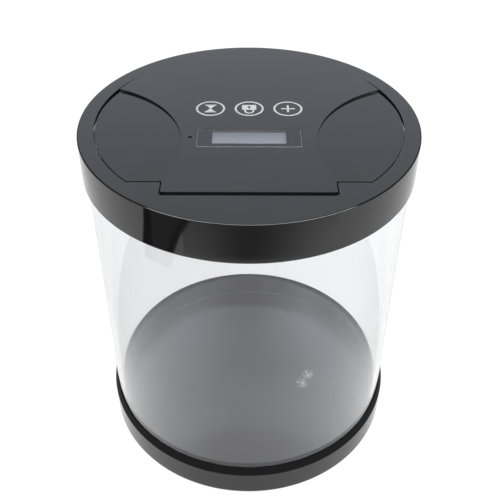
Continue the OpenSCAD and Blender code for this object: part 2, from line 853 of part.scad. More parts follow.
// Guide that carries the bolt under the top of the flap
module bolt_guide() {
  mid_y = (guide_start_y + guide_end_y) / 2;
  color([0.2, 0.2, 0.21])
    difference() {
      union() {
        block(0, mid_y, 2 * guide_half_w, guide_l, guide_z, flap_under_z);
        for (s = [-1, 1])
          post(s * ear_x, ear_y, ear_r, guide_z, guide_z + guide_t);
        block(0, ear_y, 2 * ear_x, 2 * ear_r, guide_z, guide_z + guide_t);
      }
      block(0, mid_y, bolt_w + 2 * slide_gap, guide_l + 2 * cut, bolt_z - slide_gap,
        flap_under_z + cut);
      block(0, guide_end_y, guide_slot_w, 2 * (guide_l - guide_bridge_l), guide_z - cut, bolt_z);
      for (s = [-1, 1])
        post(s * ear_x, ear_y, small_screw_d / 2 + screw_gap, guide_z - cut,
          guide_z + guide_t + cut);
    }
}

// Place of each cell across the bay
function cell_y(i) = -bay_in_y - cell_gap - cell_d / 2 - i * (cell_d + cell_gap);

// The cells, laid alternately
module cells() {
  color([0.3, 0.5, 0.35])
    for (i = [0 : cell_count - 1])
      translate([0, cell_y(i), cell_z])
        rotate([0, i % 2 == 0 ? 90 : -90, 0]) {
          translate([0, 0, -cell_l / 2])
            cylinder(h = cell_l - button_l, r = cell_d / 2);
          translate([0, 0, cell_l / 2 - button_l - join])
            cylinder(h = button_l + join, r = button_d / 2);
        }
}

// Contact plates in the ends of the bay, with a raised cone towards each flat cell end
module cell_contacts() {
  color([0.8, 0.81, 0.82])
    for (i = [0 : cell_count - 1], s = [-1, 1]) {
      plate_in = bay_w / 2 - contact_t;
      block(s * (bay_w / 2 - contact_t / 2), cell_y(i), contact_t, contact_w,
        cell_z - contact_w / 2, cell_z + contact_w / 2);
      translate([s * (plate_in + join), cell_y(i), cell_z])
        rotate([0, -s * 90, 0])
          cylinder(h = plate_in - cell_l / 2, r1 = cone_r, r2 = cone_r / 2);
    }
}

// Door over the cell bay, flush with the underside of the flap
module cell_door() {
  color([0.09, 0.09, 0.095])
    difference() {
      union() {
        block(0, -bay_mid_y, door_w, door_l, flap_z, flap_z + rebate_t - rebate_gap);
        block(0, -bay_mid_y, bay_w - 2 * door_gap, bay_l - 2 * door_gap,
          flap_z + rebate_t / 2, flap_inside_z);
      }
      for (i = [0 : grip_count - 1])
        block((i - (grip_count - 1) / 2) * grip_pitch, door_l / 2 - grip_inset - bay_mid_y, grip_w,
          grip_l, flap_z - cut, flap_z + grip_depth);
    }
}

// A screw standing on its head at a height, with its head and its shank
module screw(x, y, d, z0, l) {
  post(x, y, head_ratio * d / 2, z0, z0 + head_t);
  post(x, y, d / 2 - thread_bite, z0 + head_t - join, z0 + l);
}

// Screws that join the two covers of the flap
module cover_screws() {
  color([0.3, 0.3, 0.31])
    for (p = cover_points, s = [-1, 1])
      screw(s * p[0], p[1], screw_d, flap_z, screw_l);
}

// Screws that hold the circuit board
module board_screws() {
  color([0.7, 0.7, 0.72])
    for (x = [-1, 1], y = [-1, 1])
      screw(x * board_hole_x, y * board_hole_y - board_y, small_screw_d, board_z - head_t,
        small_screw_l);
}

// Screws that hold the bolt guide
module guide_screws() {
  color([0.7, 0.7, 0.72])
    for (s = [-1, 1])
      screw(s * ear_x, ear_y, small_screw_d, guide_z - head_t, small_screw_l);
}

// Screws that hold the motor's strap
module strap_screws() {
  color([0.7, 0.7, 0.72])
    for (s = [-1, 1])
      screw(strap_x, motor_y + s * strap_screw_y, small_screw_d, motor_top_z - strap_t - head_t,
        small_screw_l);
}

base_cup();
foot_pads();
tube();
lid_collar();
hinge_pin();
flap_top_cover();
flap_bottom_cover();
display_window();
display_panel();
circuit_board();
board_parts();
touch_electrodes();
sounder();
gearbox_case();
motor_can();
motor_strap();
output_shaft();
drive_pinion();
latch_bolt();
bolt_guide();
cells();
cell_contacts();
cell_door();
cover_screws();
board_screws();
guide_screws();
strap_screws();
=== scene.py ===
"""Looks of a timed lock container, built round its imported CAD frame.

A clear tube stands glued between a moulded black base and a black lid collar.
A hinged flap in the collar carries the display, three touch keys, the cells and
the motor-driven bolt. Shapes are drawn in millimetres, in the CAD's own frame,
and are made metres when a piece is finished.
"""

import logging
import math
from collections.abc import Callable, Sequence
from dataclasses import dataclass
from enum import Enum
from functools import cache

import bmesh
import bpy
from mathutils import Matrix, Vector


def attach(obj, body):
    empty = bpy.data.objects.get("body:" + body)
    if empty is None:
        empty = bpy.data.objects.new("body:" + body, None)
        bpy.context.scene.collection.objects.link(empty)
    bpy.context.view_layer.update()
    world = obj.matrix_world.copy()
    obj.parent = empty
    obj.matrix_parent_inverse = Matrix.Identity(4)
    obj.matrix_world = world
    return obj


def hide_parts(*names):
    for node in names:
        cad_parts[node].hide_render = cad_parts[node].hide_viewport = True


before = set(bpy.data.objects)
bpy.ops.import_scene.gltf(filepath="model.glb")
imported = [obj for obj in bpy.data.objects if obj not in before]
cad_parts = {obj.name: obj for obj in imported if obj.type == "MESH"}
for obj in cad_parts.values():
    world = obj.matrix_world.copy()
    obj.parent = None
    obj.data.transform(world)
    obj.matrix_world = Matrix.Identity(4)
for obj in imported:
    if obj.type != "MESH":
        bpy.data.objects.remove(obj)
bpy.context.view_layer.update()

Point = tuple[float, float]
Outline = list[Point]
Corners = dict[Point, float]
Colour = tuple[float, float, float]
Socket = bpy.types.NodeSocket

MM = 0.001
log = logging.getLogger("lock_container")

# Measures in millimetres that several sub-assemblies share.
OUTER_R = 95.0
SEAT_R = 92.8
LIP = (87.6, 89.6)
TOP = 217.0
FLAP_LOW = 195.5
HINGE = (-66.0, 212.8)
BOLT_GAP = (207.9, 213.5)
VIEW_MID = (0.0, -16.7)
WINDOW_MID = (0.0, -18.2)
CELL_MID = (0.0, -37.55)
COVER_SCREWS = ((66.0, -12.0), (46.0, 58.0), (40.0, -50.0))
SINK = 0.01  # how far a joined shell reaches into the next
WELD = 1e-4  # points closer than this become one
SHARP_FROM = 35.0  # edges that turn by more degrees stay crisp

UPRIGHT = Matrix.Identity(4)
ALONG_X = Matrix(((0, 0, 1, 0), (1, 0, 0, 0), (0, 1, 0, 0), (0, 0, 0, 1)))


class Body(Enum):
    """The moving bodies that scene.py builds pieces for."""

    CONTAINER = "container"
    FLAP = "flap"
    DOOR = "door"


class Slot(Enum):
    """Material slot names of the pieces built here, passed with each piece."""

    GLOSS = "black_gloss"
    SATIN = "black_satin"
    TUBE = "clear_tube"
    RUBBER = "foot_rubber"
    SCREW = "dark_screw"
    LENS = "window_lens"
    DISPLAY = "display_glass"
    CELL = "cell_wrap"


class Combine(Enum):
    """Ways in which two solids make one."""

    UNITE = "UNION"
    CUT = "DIFFERENCE"
    COMMON = "INTERSECT"


# ---------------------------------------------------------------- outlines


def arc(centre: Point, radius: float, start: float, stop: float, count: int) -> Outline:
    """Points along an arc.

    Args:
        centre: Centre of the arc.
        radius: Radius of the arc.
        start: First angle in degrees.
        stop: Last angle in degrees.
        count: Number of steps between the two.

    Returns:
        The points, both ends included.
    """
    angles = [math.radians(start + (stop - start) * i / count) for i in range(count + 1)]
    return [(centre[0] + radius * math.cos(a), centre[1] + radius * math.sin(a)) for a in angles]


def rounded(corners: Corners, steps: int = 5) -> Outline:
    """Rounds the corners of a closed outline.

    Args:
        corners: The outline's corners in order, each with its rounding, 0 for a sharp one.
        steps: Number of steps in each rounding.

    Returns:
        The outline with its roundings.
    """
    made: Outline = []
    points = list(corners)
    for i, radius in enumerate(corners.values()):
        here = Vector(points[i])
        if radius <= 0:
            made.append(tuple(here))
            continue
        before = (Vector(points[i - 1]) - here).normalized()
        after = (Vector(points[(i + 1) % len(points)]) - here).normalized()
        half = before.angle(after) / 2
        reach = radius / math.tan(half)
        centre = here + (before + after).normalized() * (radius / math.sin(half))
        first = here + before * reach - centre
        last = here + after * reach - centre
        turn = math.atan2(first.x * last.y - first.y * last.x, first.dot(last))
        for k in range(steps + 1):
            spoke = Matrix.Rotation(turn * k / steps, 2) @ first
            made.append((centre.x + spoke.x, centre.y + spoke.y))
    return made


def rectangle(width: float, length: float, radius: float = 0.0, middle: Point = (0.0, 0.0)) -> Outline:
    """A rectangle, with round corners where a radius is given.

    Args:
        width: Size along X.
        length: Size along Y.
        radius: Rounding of the corners.
        middle: Middle of the rectangle.

    Returns:
        Its outline, anticlockwise.
    """
    signs = ((-1, -1), (1, -1), (1, 1), (-1, 1))
    corners = [(middle[0] + x * width / 2, middle[1] + y * length / 2) for x, y in signs]
    return rounded(dict.fromkeys(corners, radius)) if radius else corners


def cut_disc(radius: float, chord: float, count: int = 192) -> Outline:
    """The part of a disc on the user's side of a straight edge.

    Args:
        radius: Radius of the disc.
        chord: Distance of the straight edge from the centre, towards the hinge.
        count: Number of steps in the full circle.

    Returns:
        The outline from the left end of the straight edge, anticlockwise.
    """
    spare = 0.2
    edge = math.degrees(math.asin(-chord / radius))
    step = 360 / count
    angles = [i * step for i in range(-count, count) if edge + spare < i * step < 180 - edge - spare]
    around = [(radius * math.cos(math.radians(a)), radius * math.sin(math.radians(a))) for a in angles]
    half = math.sqrt(radius**2 - chord**2)
    return [(-half, -chord), (half, -chord), *around]


def tabbed(disc: Outline, half: float, chord: float, reach: float, radii: Sequence[float]) -> Outline:
    """A cut disc with a tab, or the notch for one, on its straight edge.

    Args:
        disc: The cut disc.
        half: Half the width of the tab.
        chord: Distance of the straight edge from the centre.
        reach: Distance of the tab's end from the centre.
        radii: Roundings of the disc's first corner, the tab's four corners and the disc's second corner.

    Returns:
        The outline, anticlockwise.
    """
    tab = [(-half, -chord), (-half, -reach), (half, -reach), (half, -chord)]
    return rounded(dict(zip([disc[0], *tab, *disc[1:]], [*radii, *[0.0] * (len(disc) - 2)])))


# ---------------------------------------------------------------- solids


def placed(name: str, data: bpy.types.ID) -> bpy.types.Object:
    """Puts new data into the scene and returns its object."""
    made = bpy.data.objects.new(name, data)
    bpy.context.scene.collection.objects.link(made)
    return made


def drop(*used: bpy.types.Object) -> None:
    """Removes objects with their meshes."""
    for item in used:
        mesh = item.data
        bpy.data.objects.remove(item)
        bpy.data.meshes.remove(mesh)


def applied(work: bpy.types.Object) -> bpy.types.Mesh:
    """Returns an object's mesh with its modifiers applied and removes the object."""
    seen = work.evaluated_get(bpy.context.evaluated_depsgraph_get())
    made = bpy.data.meshes.new_from_object(seen)
    drop(work)
    return made


class Sketch:
    """One or more closed shells, drawn in millimetres."""

    def __init__(self) -> None:
        """Starts with no shell."""
        self.bm = bmesh.new()

    def _close(self, faces: list[bmesh.types.BMFace]) -> "Sketch":
        """Turns the faces of a new shell outwards and returns the sketch."""
        bmesh.ops.recalc_face_normals(self.bm, faces=faces)
        return self

    def lathe(self, profile: Outline, segments: int = 192, place: Matrix = UPRIGHT) -> "Sketch":
        """Turns a closed profile round an axis.

        Args:
            profile: Points as (radius, height) in order.
            segments: Number of steps round the axis.
            place: Where the turned shape stands.

        Returns:
            The sketch itself.
        """
        turns = [2 * math.pi * i / segments for i in range(segments)]
        spokes = [(math.cos(a), math.sin(a)) for a in turns]
        rings = [
            [self.bm.verts.new(place @ Vector((radius * x, radius * y, height))) for x, y in spokes] if radius else None
            for radius, height in profile
        ]
        faces = []
        for here, there in zip(rings, rings[1:] + rings[:1]):
            if here and there:
                for i in range(segments):
                    j = (i + 1) % segments
                    faces.append(self.bm.faces.new((here[i], here[j], there[j], there[i])))
            elif here or there:
                faces.append(self.bm.faces.new(here or there))
        return self._close(faces)

    def prism(self, outline: Outline, low: float, high: float, place: Matrix = UPRIGHT) -> "Sketch":
        """Raises an outline between two heights.

        Args:
            outline: The outline in plan.
            low: Lower height.
            high: Upper height.
            place: Where the shape stands.

        Returns:
            The sketch itself.
        """
        under, over = ([self.bm.verts.new(place @ Vector((x, y, z))) for x, y in outline] for z in (low, high))
        faces = [self.bm.faces.new(under[::-1]), self.bm.faces.new(over)]
        for i in range(len(outline)):
            j = (i + 1) % len(outline)
            faces.append(self.bm.faces.new((under[i], under[j], over[j], over[i])))
        return self._close(faces)

    def block(self, low: Sequence[float], high: Sequence[float]) -> "Sketch":
        """Adds a block between two corners and returns the sketch."""
        middle = ((low[0] + high[0]) / 2, (low[1] + high[1]) / 2)
        return self.prism(rectangle(high[0] - low[0], high[1] - low[1], 0.0, middle), low[2], high[2])

    def drum(
        self, centre: Point, radius: float, low: float, high: float, bore: float = 0.0, segments: int = 48
    ) -> "Sketch":
        """Adds an upright round bar, or a sleeve where it has a bore.

        Args:
            centre: Its axis in plan.
            radius: Outer radius.
            low: Lower height.
            high: Upper height.
            bore: Inner radius, 0 for a full bar.
            segments: Number of steps round the axis.

        Returns:
            The sketch itself.
        """
        place = Matrix.Translation((*centre, 0))
        return self.lathe([(bore, low), (radius, low), (radius, high), (bore, high)], segments, place)

    def join(self, *others: "Sketch") -> "Sketch":
        """Adds the shells of other sketches beside its own and returns the sketch."""
        for other in others:
            mesh = other.mesh()
            self.bm.from_mesh(mesh)
            bpy.data.meshes.remove(mesh)
        return self

    def mesh(self) -> bpy.types.Mesh:
        """Returns the shells as a mesh."""
        made = bpy.data.meshes.new("work")
        self.bm.to_mesh(made)
        return made

    @classmethod
    def of(cls, mesh: bpy.types.Mesh) -> "Sketch":
        """Makes a sketch of a mesh, which is then dropped, with its double points welded."""
        made = cls()
        made.bm.from_mesh(mesh)
        bpy.data.meshes.remove(mesh)
        bmesh.ops.remove_doubles(made.bm, verts=made.bm.verts[:], dist=WELD)
        return made

    def combine(self, how: Combine, *others: "Sketch") -> "Sketch":
        """Combines the solid with others, one after the other.

        Args:
            how: Whether they are united, cut away or only their common part kept.
            others: The other solids.

        Returns:
            A new sketch with the result.
        """
        holder = placed("work", self.mesh())
        tools = [placed("tool", other.mesh()) for other in others]
        for tool in tools:
            step = holder.modifiers.new("combine", "BOOLEAN")
            step.solver = "EXACT"
            step.operation = how.value
            step.object = tool
        made = Sketch.of(applied(holder))
        drop(*tools)
        bmesh.ops.dissolve_degenerate(made.bm, edges=made.bm.edges[:], dist=WELD)
        return made

    def soften(self, width: float, pick: Callable[[Vector, Vector], bool], least: float = 30) -> "Sketch":
        """Rounds chosen edges.

        Args:
            width: Width of the rounding.
            pick: Says for an edge's two ends whether it is rounded.
            least: Edges that turn by fewer degrees are left.

        Returns:
            The sketch itself.
        """
        chosen = [
            e
            for e in self.bm.edges
            if len(e.link_faces) == 2
            and math.degrees(e.calc_face_angle(0.0)) > least
            and pick(e.verts[0].co, e.verts[1].co)
        ]
        bmesh.ops.bevel(
            self.bm,
            geom=chosen,
            offset=width,
            offset_type="OFFSET",
            segments=2,
            profile=0.5,
            affect="EDGES",
            clamp_overlap=True,
        )
        return self

    def move(self, shift: Callable[[Vector], Vector]) -> "Sketch":
        """Moves every point by a rule and returns the sketch."""
        for vert in self.bm.verts:
            vert.co = shift(vert.co)
        return self

    def paint(self, zone: Callable[[Vector, Vector], int]) -> "Sketch":
        """Gives each face the finish that a rule of its middle and normal names and returns the sketch."""
        self.bm.normal_update()
        for face in self.bm.faces:
            face.material_index = zone(face.calc_center_median(), face.normal)
        return self

    def piece(
        self, name: str, body: Body, slot: Slot, finishes: Sequence["Finish"], *replaces: str
    ) -> bpy.types.Object:
        """Finishes the sketch as a piece of the container, in metres, puts it on its body and hides the CAD nodes that
        it stands for.

        Args:
            name: The piece's name.
            body: The body that it moves with.
            slot: Not used.
            finishes: Its finishes, in the order of the painted zones.
            replaces: CAD nodes that it stands for.

        Returns:
            The finished object.
        """
        work = placed("work", self.mesh())
        work.data.shade_smooth()
        work.data.set_sharp_from_angle(angle=math.radians(SHARP_FROM))
        even = work.modifiers.new("even", "WEIGHTED_NORMAL")
        even.keep_sharp = True
        even.mode = "FACE_AREA"
        mesh = applied(work)
        mesh.name = name
        mesh.transform(Matrix.Scale(MM, 4))
        zones = [min(face.material_index, len(finishes) - 1) for face in mesh.polygons]
        mesh.materials.clear()
        for finish in finishes:
            mesh.materials.append(Paintbox.of(finish))
        mesh.polygons.foreach_set("material_index", zones)
        piece = placed(name, mesh)
        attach(piece, body.value)
        if replaces:
            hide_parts(*replaces)
        log.info("%s: %d faces, on %s", piece.name, len(piece.data.polygons), body.value)
        return piece


def dress(finish: "Finish", *nodes: str) -> None:
    """Gives CAD nodes that keep their shape their finish."""
    material = Paintbox.of(finish)
    for node in nodes:
        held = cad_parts[node]
        if not held.material_slots:
            held.data.materials.append(material)
        for place in held.material_slots:
            place.material = material
        log.info("%s: CAD shape kept, finish %s", node, finish.name)


# ---------------------------------------------------------------- node trees


def socket_kind(value: object) -> str:
    """The kind of socket for a default value; a text names the kind of a socket without one."""
    if isinstance(value, tuple):
        return "Color" if len(value) == 4 else "Vector"
    return value if isinstance(value, str) else {float: "Float", int: "Int"}[type(value)]


class Bench:
    """Lays nodes in a tree and wires them."""

    def __init__(self, tree: bpy.types.NodeTree) -> None:
        """Works on one tree."""
        self.tree = tree

    @classmethod
    def group(cls, kind: str, name: str, inputs: dict, outputs: dict) -> tuple["Bench", dict, bpy.types.Node]:
        """Starts a node group with named sockets.

        Args:
            kind: Shader or Geometry.
            name: The group's name.
            inputs: For each input its default value, or its kind where it has none.
            outputs: The kind of each output.

        Returns:
            The group's bench, the outputs of its input node by name, and its output node.
        """
        tree = bpy.data.node_groups.new(name, kind + "NodeTree")
        for side, sockets in (("INPUT", inputs), ("OUTPUT", outputs)):
            for label, value in sockets.items():
                socket_type = "NodeSocket" + socket_kind(value)
                socket = tree.interface.new_socket(label, in_out=side, socket_type=socket_type)
                if not isinstance(value, str):
                    socket.default_value = value
        bench = cls(tree)
        return bench, bench.node("NodeGroupInput").outputs, bench.node("NodeGroupOutput")

    @classmethod
    def blank(cls, block: bpy.types.Material | bpy.types.World) -> "Bench":
        """Clears the tree of a new material or world and returns its bench."""
        block.use_nodes = True
        block.node_tree.nodes.clear()
        return cls(block.node_tree)

    def feed(self, node: bpy.types.Node, feeds: dict) -> bpy.types.Node:
        """Sets inputs by name or number, each to a value or to the output wired in, and returns the node."""
        for key, value in feeds.items():
            if isinstance(value, Socket):
                self.tree.links.new(value, node.inputs[key])
            else:
                node.inputs[key].default_value = value
        return node

    def node(self, kind: str, feeds: dict | None = None, **settings: object) -> bpy.types.Node:
        """Adds a node with its own settings, feeds its inputs and returns it."""
        made = self.tree.nodes.new(kind)
        for key, value in settings.items():
            setattr(made, key, value)
        return self.feed(made, feeds or {})

    def out(self, kind: str, feeds: dict | None = None, **settings: object) -> Socket:
        """Adds a node and returns its first output."""
        return self.node(kind, feeds, **settings).outputs[0]

    def use(self, tree: bpy.types.NodeTree, feeds: dict) -> dict:
        """Places a shader group and returns its outputs."""
        return self.node("ShaderNodeGroup", feeds, node_tree=tree).outputs

    def math(self, operation: str, first: object, second: object = 0.0, clamp: bool = False) -> Socket:
        """Adds a sum of two values and returns its output."""
        return self.out("ShaderNodeMath", {0: first, 1: second}, operation=operation, use_clamp=clamp)

    def times(self, first: object, second: object, clamp: bool = False) -> Socket:
        """Multiplies two values, held between 0 and 1 if asked, and returns the product."""
        return self.math("MULTIPLY", first, second, clamp)

    def vector(self, operation: str, feeds: dict) -> bpy.types.Node:
        """Adds a vector sum and returns its node."""
        return self.node("ShaderNodeVectorMath", feeds, operation=operation)

    def scale(self, vector: object, factor: object) -> Socket:
        """Scales a vector or a colour and returns the result."""
        return self.vector("SCALE", {0: vector, "Scale": factor}).outputs[0]

    def length(self, vector: object) -> Socket:
        """Returns the length of a vector."""
        return self.vector("LENGTH", {0: vector}).outputs["Value"]

    def split(self, vector: object) -> Sequence[Socket]:
        """Returns the three parts of a vector."""
        return self.node("ShaderNodeSeparateXYZ", {"Vector": vector}).outputs

    def join(self, feeds: dict) -> Socket:
        """Returns a vector made of its parts by number."""
        return self.out("ShaderNodeCombineXYZ", feeds)

    def ramp(self, value: object, low: float, high: float, start: float = 0.0, end: float = 1.0) -> Socket:
        """Eases a value between two ends, where it reaches start and end, and returns the result."""
        feeds = {"Value": value, "From Min": low, "From Max": high, "To Min": start, "To Max": end}
        return self.out("ShaderNodeMapRange", feeds, interpolation_type="SMOOTHSTEP")

    def blend(self, amount: object, first: object, second: object) -> Socket:
        """Mixes two colours and returns the result."""
        return self.node("ShaderNodeMix", {0: amount, 6: first, 7: second}, data_type="RGBA").outputs[2]

    def stretch(self, vector: object, scale: Sequence[float], **more: object) -> Socket:
        """Scales, turns or shifts the place that a texture is read at and returns it."""
        feeds = {"Vector": vector, "Scale": scale, **{key.capitalize(): value for key, value in more.items()}}
        return self.out("ShaderNodeMapping", feeds)

    def noise(self, vector: object, scale: object, detail: float = 2.0, roughness: float = 0.5) -> Socket:
        """Adds a noise texture and returns its value."""
        feeds = {"Vector": vector, "Scale": scale, "Detail": detail, "Roughness": roughness}
        return self.out("ShaderNodeTexNoise", feeds)

    def cells(self, vector: object, scale: object, feature: str = "F1") -> bpy.types.Node:
        """Adds a cell texture and returns its node."""
        return self.node("ShaderNodeTexVoronoi", {"Vector": vector, "Scale": scale}, feature=feature)

    def emboss(self, skin: bpy.types.Node, height: Socket, strength: float, distance: float) -> None:
        """Gives a shader its fine relief, with its depth in metres."""
        bump = {"Height": height, "Strength": strength, "Distance": distance}
        self.feed(skin, {"Normal": self.out("ShaderNodeBump", bump)})


class Effects:
    """Shader groups that several finishes share."""

    @staticmethod
    @cache
    def moulded_surface() -> bpy.types.NodeTree:
        """Colour, gloss and fine height of a moulded surface, with flow marks and settled specks.

        Returns:
            The group.
        """
        inputs = {
            "Vector": (0.0, 0.0, 0.0),
            "Colour": (0.02, 0.02, 0.02, 1.0),
            "Speck Colour": (0.4, 0.4, 0.38, 1.0),
            "Grain Scale": 900.0,
            "Roughness": 0.1,
            "Spread": 0.03,
            "Specks": 0.2,
        }
        outputs = {"Colour": "Color", "Roughness": "Float", "Height": "Float"}
        bench, take, give = Bench.group("Shader", "moulded_surface", inputs, outputs)
        where = take["Vector"]
        flow = bench.noise(where, 28.0)
        grain = bench.noise(where, take["Grain Scale"], 3.0, 0.6)
        spots = bench.cells(where, 420.0).outputs
        near = bench.ramp(spots["Distance"], 0.05, 0.11, 1.0, 0.0)
        few = bench.ramp(bench.out("ShaderNodeSeparateColor", {"Color": spots["Color"]}), 0.93, 0.97)
        mask = bench.times(bench.times(near, few), take["Specks"], True)
        tinted = bench.scale(take["Colour"], bench.ramp(flow, 0.2, 0.8, 0.86, 1.14))
        drift = bench.times(bench.math("SUBTRACT", flow, 0.5), take["Spread"])
        rough = bench.math("ADD", take["Roughness"], drift)
        made = {
            "Colour": bench.blend(mask, tinted, take["Speck Colour"]),
            "Roughness": bench.math("ADD", rough, bench.times(mask, 0.4), True),
            "Height": bench.math("ADD", bench.times(grain, 0.6), bench.times(mask, 0.5)),
        }
        bench.feed(give, made)
        return bench.tree

    @staticmethod
    @cache
    def fine_scratches() -> bpy.types.NodeTree:
        """Mask of hairline rubs in two directions, thick in some places and absent in others.

        Returns:
            The group.
        """
        inputs = {"Vector": (0.0, 0.0, 0.0), "Scale": 60.0, "Width": 0.02, "Amount": 1.0}
        bench, take, give = Bench.group("Shader", "fine_scratches", inputs, {"Mask": "Float"})
        where = take["Vector"]
        wobble = bench.node("ShaderNodeTexNoise", {"Vector": where, "Scale": 20.0, "Detail": 1.0}).outputs["Color"]
        bent = bench.vector("MULTIPLY_ADD", {0: wobble, 1: (0.01, 0.01, 0.01), 2: where}).outputs[0]
        lines = []
        for turn in (0.5, -0.9):
            laid = bench.stretch(bent, (1.0, 9.0, 9.0), rotation=(0.3, 0.2, turn))
            gap = bench.cells(laid, take["Scale"], "DISTANCE_TO_EDGE").outputs["Distance"]
            lines.append(bench.math("SUBTRACT", 1.0, bench.math("DIVIDE", gap, take["Width"], True), True))
        area = bench.ramp(bench.noise(where, 35.0), 0.55, 0.72)
        both = bench.times(bench.math("MAXIMUM", *lines), area)
        bench.feed(give, {"Mask": bench.times(both, take["Amount"], True)})
        return bench.tree

    @staticmethod
    @cache
    def scuff_patch() -> bpy.types.NodeTree:
        """Mask of one small rubbed place with broken strokes.

        Returns:
            The group.
        """
        inputs = {"Vector": (0.0, 0.0, 0.0), "Centre": (0.0, 0.0, 0.0), "Reach": 0.008, "Turn": 0.0}
        bench, take, give = Bench.group("Shader", "scuff_patch", inputs, {"Mask": "Float"})
        local = bench.vector("SUBTRACT", {0: take["Vector"], 1: take["Centre"]}).outputs[0]
        away = bench.math("DIVIDE", bench.length(local), take["Reach"])
        spin = {"Vector": local, "Rotation": bench.join({2: take["Turn"]})}
        laid = bench.out("ShaderNodeVectorRotate", spin, rotation_type="EULER_XYZ")
        strokes = bench.ramp(bench.noise(bench.stretch(laid, (1.0, 5.0, 1.0)), 220.0, 2.0, 0.6), 0.5, 0.54)
        bench.feed(give, {"Mask": bench.times(strokes, bench.ramp(away, 0.25, 1.0, 1.0, 0.0), True)})
        return bench.tree


# ---------------------------------------------------------------- finishes


def tint(colour: Colour) -> tuple[float, float, float, float]:
    """The colour with full opacity."""
    return (*colour, 1.0)


def place_on(bench: Bench) -> Socket:
    """The place on the object, in metres."""
    return bench.node("ShaderNodeTexCoord").outputs["Object"]


@dataclass(frozen=True)
class Finish:
    """A finish with its own material.

    Attributes:
        name: Name of the finish.
    """

    name: str

    def lay(self, bench: Bench, skin: bpy.types.Node, where: Socket) -> None:
        """Wires the finish into its shader; each kind of finish has its own."""
        raise NotImplementedError


class Paintbox:
    """Makes each finish once."""

    @staticmethod
    @cache
    def of(finish: Finish) -> bpy.types.Material:
        """Returns the material of a finish, made on first use."""
        material = bpy.data.materials.new(finish.name)
        bench = Bench.blank(material)
        skin = bench.node("ShaderNodeBsdfPrincipled")
        bench.node("ShaderNodeOutputMaterial", {"Surface": skin.outputs[0]})
        finish.lay(bench, skin, place_on(bench))
        return material


@dataclass(frozen=True)
class Moulding(Finish):
    """A moulded, painted or rubbery surface.

    Attributes:
        colour: Body colour.
        roughness: Roughness of the clean surface.
        grain_scale: Fineness of the grain.
        grain: Depth of the grain in metres.
        relief: Strength of the grain.
        specks: Share of settled specks that shows.
        speck_colour: Colour of the specks.
        rubs: Strength of the hairline rubs.
        specular: Level of the surface reflection.
    """

    colour: Colour = (0.012, 0.012, 0.013)
    roughness: float = 0.07
    grain_scale: float = 900.0
    grain: float = 0.00001
    relief: float = 0.05
    specks: float = 0.15
    speck_colour: Colour = (0.3, 0.3, 0.29)
    rubs: float = 0.1
    specular: float = 0.5

    def surface(self, bench: Bench, where: Socket) -> dict:
        """Places the moulded surface with this finish's values and returns its outputs."""
        values = {
            "Vector": where,
            "Colour": tint(self.colour),
            "Speck Colour": tint(self.speck_colour),
            "Grain Scale": self.grain_scale,
            "Roughness": self.roughness,
            "Spread": 0.04,
            "Specks": self.specks,
        }
        return bench.use(Effects.moulded_surface(), values)

    def scratches(self, bench: Bench, where: Socket, scale: float, width: float) -> Socket:
        """Places the hairline rubs and returns their mask."""
        values = {"Vector": where, "Scale": scale, "Width": width, "Amount": self.rubs}
        return bench.use(Effects.fine_scratches(), values)[0]

    def coat(self, bench: Bench, skin: bpy.types.Node, colour: Socket, rough: Socket, height: Socket) -> None:
        """Wires colour, roughness and relief into the shader, with this finish's gloss."""
        gloss = {"IOR": 1.5, "Specular IOR Level": self.specular}
        bench.feed(skin, {"Base Color": colour, "Roughness": rough, **gloss})
        bench.emboss(skin, height, self.relief, self.grain)

    def lay(self, bench: Bench, skin: bpy.types.Node, where: Socket) -> None:
        """Wires grain, specks and rubs into the shader."""
        surface = self.surface(bench, where)
        dulled = bench.times(self.scratches(bench, where, 40.0, 0.015), 0.5)
        rough = bench.math("ADD", surface["Roughness"], dulled, True)
        self.coat(bench, skin, surface["Colour"], rough, surface["Height"])


